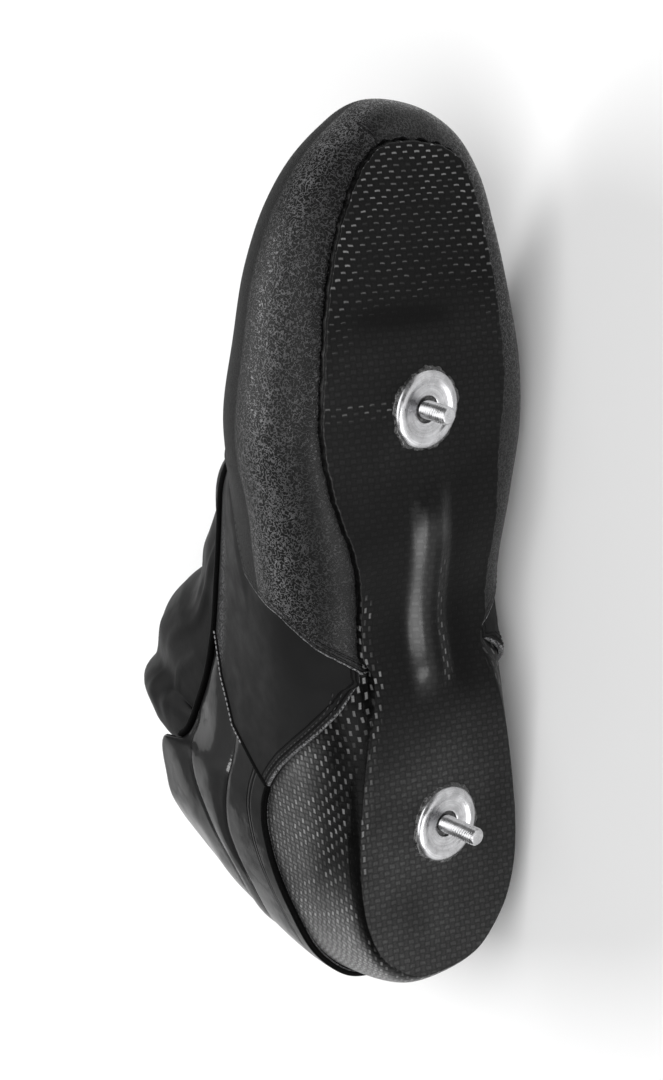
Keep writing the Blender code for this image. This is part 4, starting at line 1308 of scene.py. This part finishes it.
tongueShape = {
    # middle line x, z, half width, how far the edges turn down
    "rows": [
        (184.0, 57.0, 15.0, 6.0), (174.0, 61.5, 16.0, 8.0), (166.5, 76.0, 19.5, 17.0),
        (158.0, 87.5, 21.5, 26.0), (147.0, 92.0, 22.0, 32.0), (134.0, 97.0, 22.0, 36.0),
        (123.0, 103.5, 23.0, 40.0), (114.5, 106.5, 22.5, 42.0), (105.5, 118.5, 22.6, 46.0),
        (95.5, 129.0, 21.8, 46.0), (80.5, 135.0, 21.4, 46.0), (66.0, 143.5, 23.0, 48.5),
        (56.0, 139.0, 21.5, 42.0),
    ],
    "crown": 0.7,
    "wall": 4.5,
    "edgeShare": 0.4,
    "bendRadius": 22.0,
    "steps": 130,
    "columns": 81,
    # each fold: turn in degrees with the length at which it runs there, then depth, width and swell
    "folds": [
        {"turn": (-84, -72, -66, -55, -40, -10, 90), "length": (88, 94, 116, 130, 140, 143, 146),
         "depth": 1.5, "width": 5.0, "swell": 1.0},
        {"turn": (-84, -68, -55, -30, 0, 90), "length": (84, 82, 80, 86, 88, 90),
         "depth": 1.2, "width": 4.0, "swell": 0.6},
        {"turn": (-84, -60, -30, 0, 90), "length": (66, 60, 56, 55, 58),
         "depth": 0.8, "width": 4.5, "swell": 0.4},
    ],
}


def tongueFolds(length, bend):
    degrees = np.degrees(bend)[None, :]
    relief = np.zeros((len(length), len(bend)))
    for fold in tongueShape["folds"]:
        line = SmoothCurve(fold["turn"], np.array(fold["length"], float)[:, None])
        held = np.clip(degrees, fold["turn"][0], 90.0)
        middle = line(held)[..., 0]
        slope = line(np.minimum(held + 1.0, 90.0))[..., 0] - middle
        slope = slope / math.radians(tongueShape["bendRadius"])
        away = (length[:, None] - middle) / np.hypot(1.0, slope) / fold["width"]
        relief += fold["swell"] * (hump(away, 2.2, 1.3) + hump(away, -2.2, 1.3))
        relief -= fold["depth"] * hump(away, 0.0, 1.0)
    return relief * np.cos(bend)[None, :] ** 0.5


def makeTongue():
    rows = np.array(tongueShape["rows"])
    knots = np.append(0.0, np.cumsum(np.linalg.norm(np.diff(rows[:, :2], axis=0), axis=1)))
    length = np.linspace(0.0, knots[-1], tongueShape["steps"] + 1)
    x, z, half, drop = SmoothCurve(knots, rows)(length).T
    chord = SmoothCurve(knots[::2], rows[::2, :2])(length)
    run = unit(np.gradient(chord, axis=0))
    out = np.stack([run[:, 1], np.zeros_like(x), -run[:, 0]], -1)[:, None, :]
    bend = np.linspace(-math.pi / 2, math.pi / 2, tongueShape["columns"])
    middle = np.stack([x, np.full_like(x, lastShape["middleY"]), z], -1)[:, None, :]
    wall = tongueShape["wall"] * (tongueShape["edgeShare"] + (1.0 - tongueShape["edgeShare"]) * np.cos(bend))
    tipRun = knots[-1] - length[:, None]
    folds = tongueFolds(length, np.clip(bend, -1.565, 1.565))
    folds = folds * easeStep(tipRun, 0.0, 12.0) * easeStep(length[:, None], 20.0, 50.0)
    sides = []
    for depth in (0.0, 1.0):
        puff = folds * (1.0 - depth)
        sideways = (half[:, None] - depth * wall + puff * np.abs(np.sin(bend))) * np.sin(bend)
        crown = np.maximum(np.cos(bend), 0.0) ** tongueShape["crown"]
        turned = drop[:, None] * (1.0 - crown) + depth * wall * np.cos(bend) - puff * np.cos(bend)
        turned = turned + edgeRound(tipRun, 2.0) * (1.0 if depth == 0.0 else -1.0)
        sides.append(middle + sideways[..., None] * np.array([0.0, 1.0, 0.0]) - turned[..., None] * out)
    materials = [finish["soft"], finish["lining"], finish["soft"]]
    piece = addShell("paddedTongue", [{"outer": sides[0], "inner": sides[1]}], materials)
    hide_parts("tongue")


makeFootbed()
makeTongue()
print("footbed and tongue made")

washerShape = {
    # radius, depth below the plate's face
    "profile": [
        (4.4, 0.0), (4.4, 0.60), (4.6, 0.72), (5.2, 0.75), (8.1, 0.80), (8.6, 0.94), (9.0, 1.24),
        (9.5, 1.46), (10.1, 1.5), (10.8, 1.46), (11.5, 1.24), (12.1, 0.80), (12.4, 0.45), (12.4, 0.0),
    ],
    "steps": 96,
    "beadOut": 13.3,
}


def turnedPoints(centreX, radius, angle, height):
    points = np.stack([centreX + radius * np.cos(angle), radius * np.sin(angle), height], -1)
    return points, np.stack([angle / (2 * math.pi) + np.zeros_like(radius), radius, height], -1)


def turnedGrid(profile, centreX, steps, ragged=0.0):
    angle = np.linspace(0.0, 2 * math.pi, steps, endpoint=False)[:, None]
    wobble = 0.35 * np.sin(angle * 5 + centreX) + 0.25 * np.sin(angle * 13 + 2 * centreX)
    wobble = wobble + 0.18 * np.sin(angle * 29)
    outerRows = np.arange(len(profile))[None, :] >= 2
    radius = np.array([p[0] for p in profile])[None, :] + ragged * wobble * outerRows
    height = np.array([p[1] for p in profile])[None, :] + np.zeros_like(angle)
    return turnedPoints(centreX, radius, angle, height)


def turnedFaces(columns, rows, start, ring):
    grid = np.arange(columns * rows).reshape(columns, rows) + start
    following = np.roll(grid, -1, axis=0)
    if ring:
        grid = np.concatenate([grid, grid[:, :1]], 1)
        following = np.concatenate([following, following[:, :1]], 1)
    return quadRows(grid, following)


def addSteel(name, node, points, place, ring, sharp):
    faces = turnedFaces(*points.shape[:2], 0, ring)
    places = {"turnPlace": place.reshape(-1, 3)}
    piece = addPiece(name, points.reshape(-1, 3), faces, [finish["steel"]], None, places, sharp)
    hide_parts(node)


def makeWasher(name, node, centreX):
    profile = [(radius, -lastShape["gap"] - depth) for radius, depth in washerShape["profile"]]
    addSteel(name, node, *turnedGrid(profile, centreX, washerShape["steps"]), True, 50.0)


def makeStud(name, node, centreX, length):
    steps = studs["aroundSteps"]
    rowCount = int((length + studs["root"]) / studs["pitch"] * studs["rowsPerTurn"])
    height = np.linspace(studs["root"], -length + 0.05, rowCount)[None, :]
    angle = np.linspace(0.0, 2 * math.pi, steps, endpoint=False)[:, None]
    turn = np.mod(height / studs["pitch"] + angle / (2 * math.pi), 1.0)
    ridge = np.abs(turn - 0.5) * 2.0
    radius = studs["radius"] - studs["threadDepth"] * np.clip(ridge * 1.3 - 0.15, 0.0, 1.0)
    chamfer = studs["chamfer"]
    cut = 1.0 - np.clip((height + length) / chamfer, 0.0, 1.0)
    radius = np.minimum(radius, studs["radius"] - chamfer * cut)
    ends = np.zeros((steps, 1))
    radius = np.concatenate([ends, radius, radius[:, -1:] * 0.96, radius[:, -1:] * 0.5, ends], 1)
    height = np.concatenate([np.full((1, 1), studs["root"]), height, np.full((1, 3), -length)], 1)
    height = height + np.zeros_like(radius)
    addSteel(name, node, *turnedPoints(centreX, radius, angle, height), False, 35.0)


def makeResinBeads():
    gap = lastShape["gap"]
    out = washerShape["beadOut"]
    bead = [
        (11.9, 0.1), (11.9, -gap - 0.35), (12.5, -gap - 0.42),
        (out - 0.3, -gap - 0.15), (out, 0.0), (out + 0.1, 0.1),
    ]
    bed = [(2.9, 0.1), (2.9, -0.12), (4.5, -0.12), (4.5, 0.1)]
    points = []
    faces = []
    start = 0
    for centreX in (studs["heelX"], ballX):
        for profile, ragged in ((bead, 1.0), (bed, 0.0)):
            grid, _ = turnedGrid(profile, centreX, 120, ragged)
            points.append(grid.reshape(-1, 3))
            faces.append(turnedFaces(*grid.shape[:2], start, True))
            start += grid.shape[0] * grid.shape[1]
    piece = addPiece("resinBeads", np.vstack(points), np.vstack(faces), [finish["resin"]])


makeWasher("heelWasher", "heel_washer", studs["heelX"])
makeWasher("ballWasher", "ball_washer", ballX)
makeStud("heelStud", "heel_stud", studs["heelX"], studs["heelLength"])
makeStud("ballStud", "ball_stud", ballX, studs["ballLength"])
makeResinBeads()
print("washers and studs made")

stitching = {
    "panel": {"Pitch": 2.2, "Length": 1.5, "Thickness": 0.5},
    "piping": {"Pitch": 1.7, "Length": 1.4, "Thickness": 0.6},
}


def stitchTree():
    tree = bpy.data.node_groups.new("stitchRows", "GeometryNodeTree")
    kinds = ("Geometry", "Float", "Float", "Float", "Material")
    for name, kind in zip(("Rows", "Pitch", "Length", "Thickness", "Thread"), kinds):
        tree.interface.new_socket(name, in_out="INPUT", socket_type="NodeSocket" + kind)
    tree.interface.new_socket("Stitches", in_out="OUTPUT", socket_type="NodeSocketGeometry")
    nodes = tree.nodes
    given = nodes.new("NodeGroupInput")
    curve = nodes.new("GeometryNodeMeshToCurve")
    even = nodes.new("GeometryNodeResampleCurve")
    even.mode = "LENGTH"
    bead = nodes.new("GeometryNodeMeshUVSphere")
    bead.inputs["Segments"].default_value = 6
    bead.inputs["Rings"].default_value = 5
    bead.inputs["Radius"].default_value = 0.5
    size = nodes.new("ShaderNodeCombineXYZ")
    tangent = nodes.new("GeometryNodeInputTangent")
    align = nodes.new("FunctionNodeAlignRotationToVector")
    align.axis = "Z"
    place = nodes.new("GeometryNodeInstanceOnPoints")
    real = nodes.new("GeometryNodeRealizeInstances")
    smooth = nodes.new("GeometryNodeSetShadeSmooth")
    paint = nodes.new("GeometryNodeSetMaterial")
    made = nodes.new("NodeGroupOutput")
    for source, output, target, socket in (
        (given, "Rows", curve, "Mesh"),
        (curve, "Curve", even, "Curve"),
        (given, "Pitch", even, "Length"),
        (even, "Curve", place, "Points"),
        (bead, "Mesh", place, "Instance"),
        (tangent, "Tangent", align, "Vector"),
        (align, "Rotation", place, "Rotation"),
        (given, "Thickness", size, "X"),
        (given, "Thickness", size, "Y"),
        (given, "Length", size, "Z"),
        (size, "Vector", place, "Scale"),
        (place, "Instances", real, "Geometry"),
        (real, "Geometry", smooth, "Geometry"),
        (smooth, "Geometry", paint, "Geometry"),
        (given, "Thread", paint, "Material"),
        (paint, "Geometry", made, "Stitches"),
    ):
        tree.links.new(source.outputs[output], target.inputs[socket])
    return tree


stitchNodes = stitchTree()


def addStitches(name, rows, sizes, thread):
    points = []
    edges = []
    for row in rows:
        edges += [(len(points) + i, len(points) + i + 1) for i in range(len(row) - 1)]
        points += [tuple(p) for p in toWorld(row)]
    mesh = bpy.data.meshes.new(name)
    mesh.from_pydata(points, edges, [])
    piece = bpy.data.objects.new(name, mesh)
    bpy.context.scene.collection.objects.link(piece)
    modifier = piece.modifiers.new("Stitches", "NODES")
    modifier.node_group = stitchNodes
    values = {key: size * mm for key, size in sizes.items()}
    values["Thread"] = thread
    for socket in stitchNodes.interface.items_tree:
        if socket.name in values:
            modifier[socket.identifier] = values[socket.name]
    bpy.context.view_layer.update()
    depsgraph = bpy.context.evaluated_depsgraph_get()
    sewn = bpy.data.meshes.new_from_object(piece.evaluated_get(depsgraph))
    piece.modifiers.clear()
    piece.data = sewn
    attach(piece, "root")
    print("  piece", name, len(sewn.polygons), "faces")


def panelStitchRows():
    rows = []
    for side in (1.0, -1.0):
        share = np.linspace(0.03, 0.995, 140)
        edge = panelEdge("vampSeam", share)
        for inset in grainedLeather["rows"]:
            rows.append(surfaceRow(side * (edge - inset), share, 0.10))
        s = np.linspace(float(alongAt(102.0)), float(panelEdge("quarterSeam", 0.03)) - 1.0, 90)
        for inset in smoothLeather["rows"]:
            u = side * s
            v = shareAtHeight(u, lastPoint(u, edgeShare(u))[..., 2] + inset)
            rows.append(surfaceRow(u, v, lapDip(s - panelEdge("vampSeam", v)) + 0.10))
    return rows


def pipingStitchRows():
    share = np.linspace(0.42, 0.99, 110)
    depth = bindingsAndShadowLines["rearDepth"] - bindingsAndShadowLines["rearRadius"]
    return [quarterRear(side, bindingsAndShadowLines["rearInset"], depth, share) for side in (1.0, -1.0)]


addStitches("panelStitches", panelStitchRows(), stitching["panel"], finish["thread"])
addStitches("pipingStitches", pipingStitchRows(), stitching["piping"], finish["lightThread"])
print("stitching made")
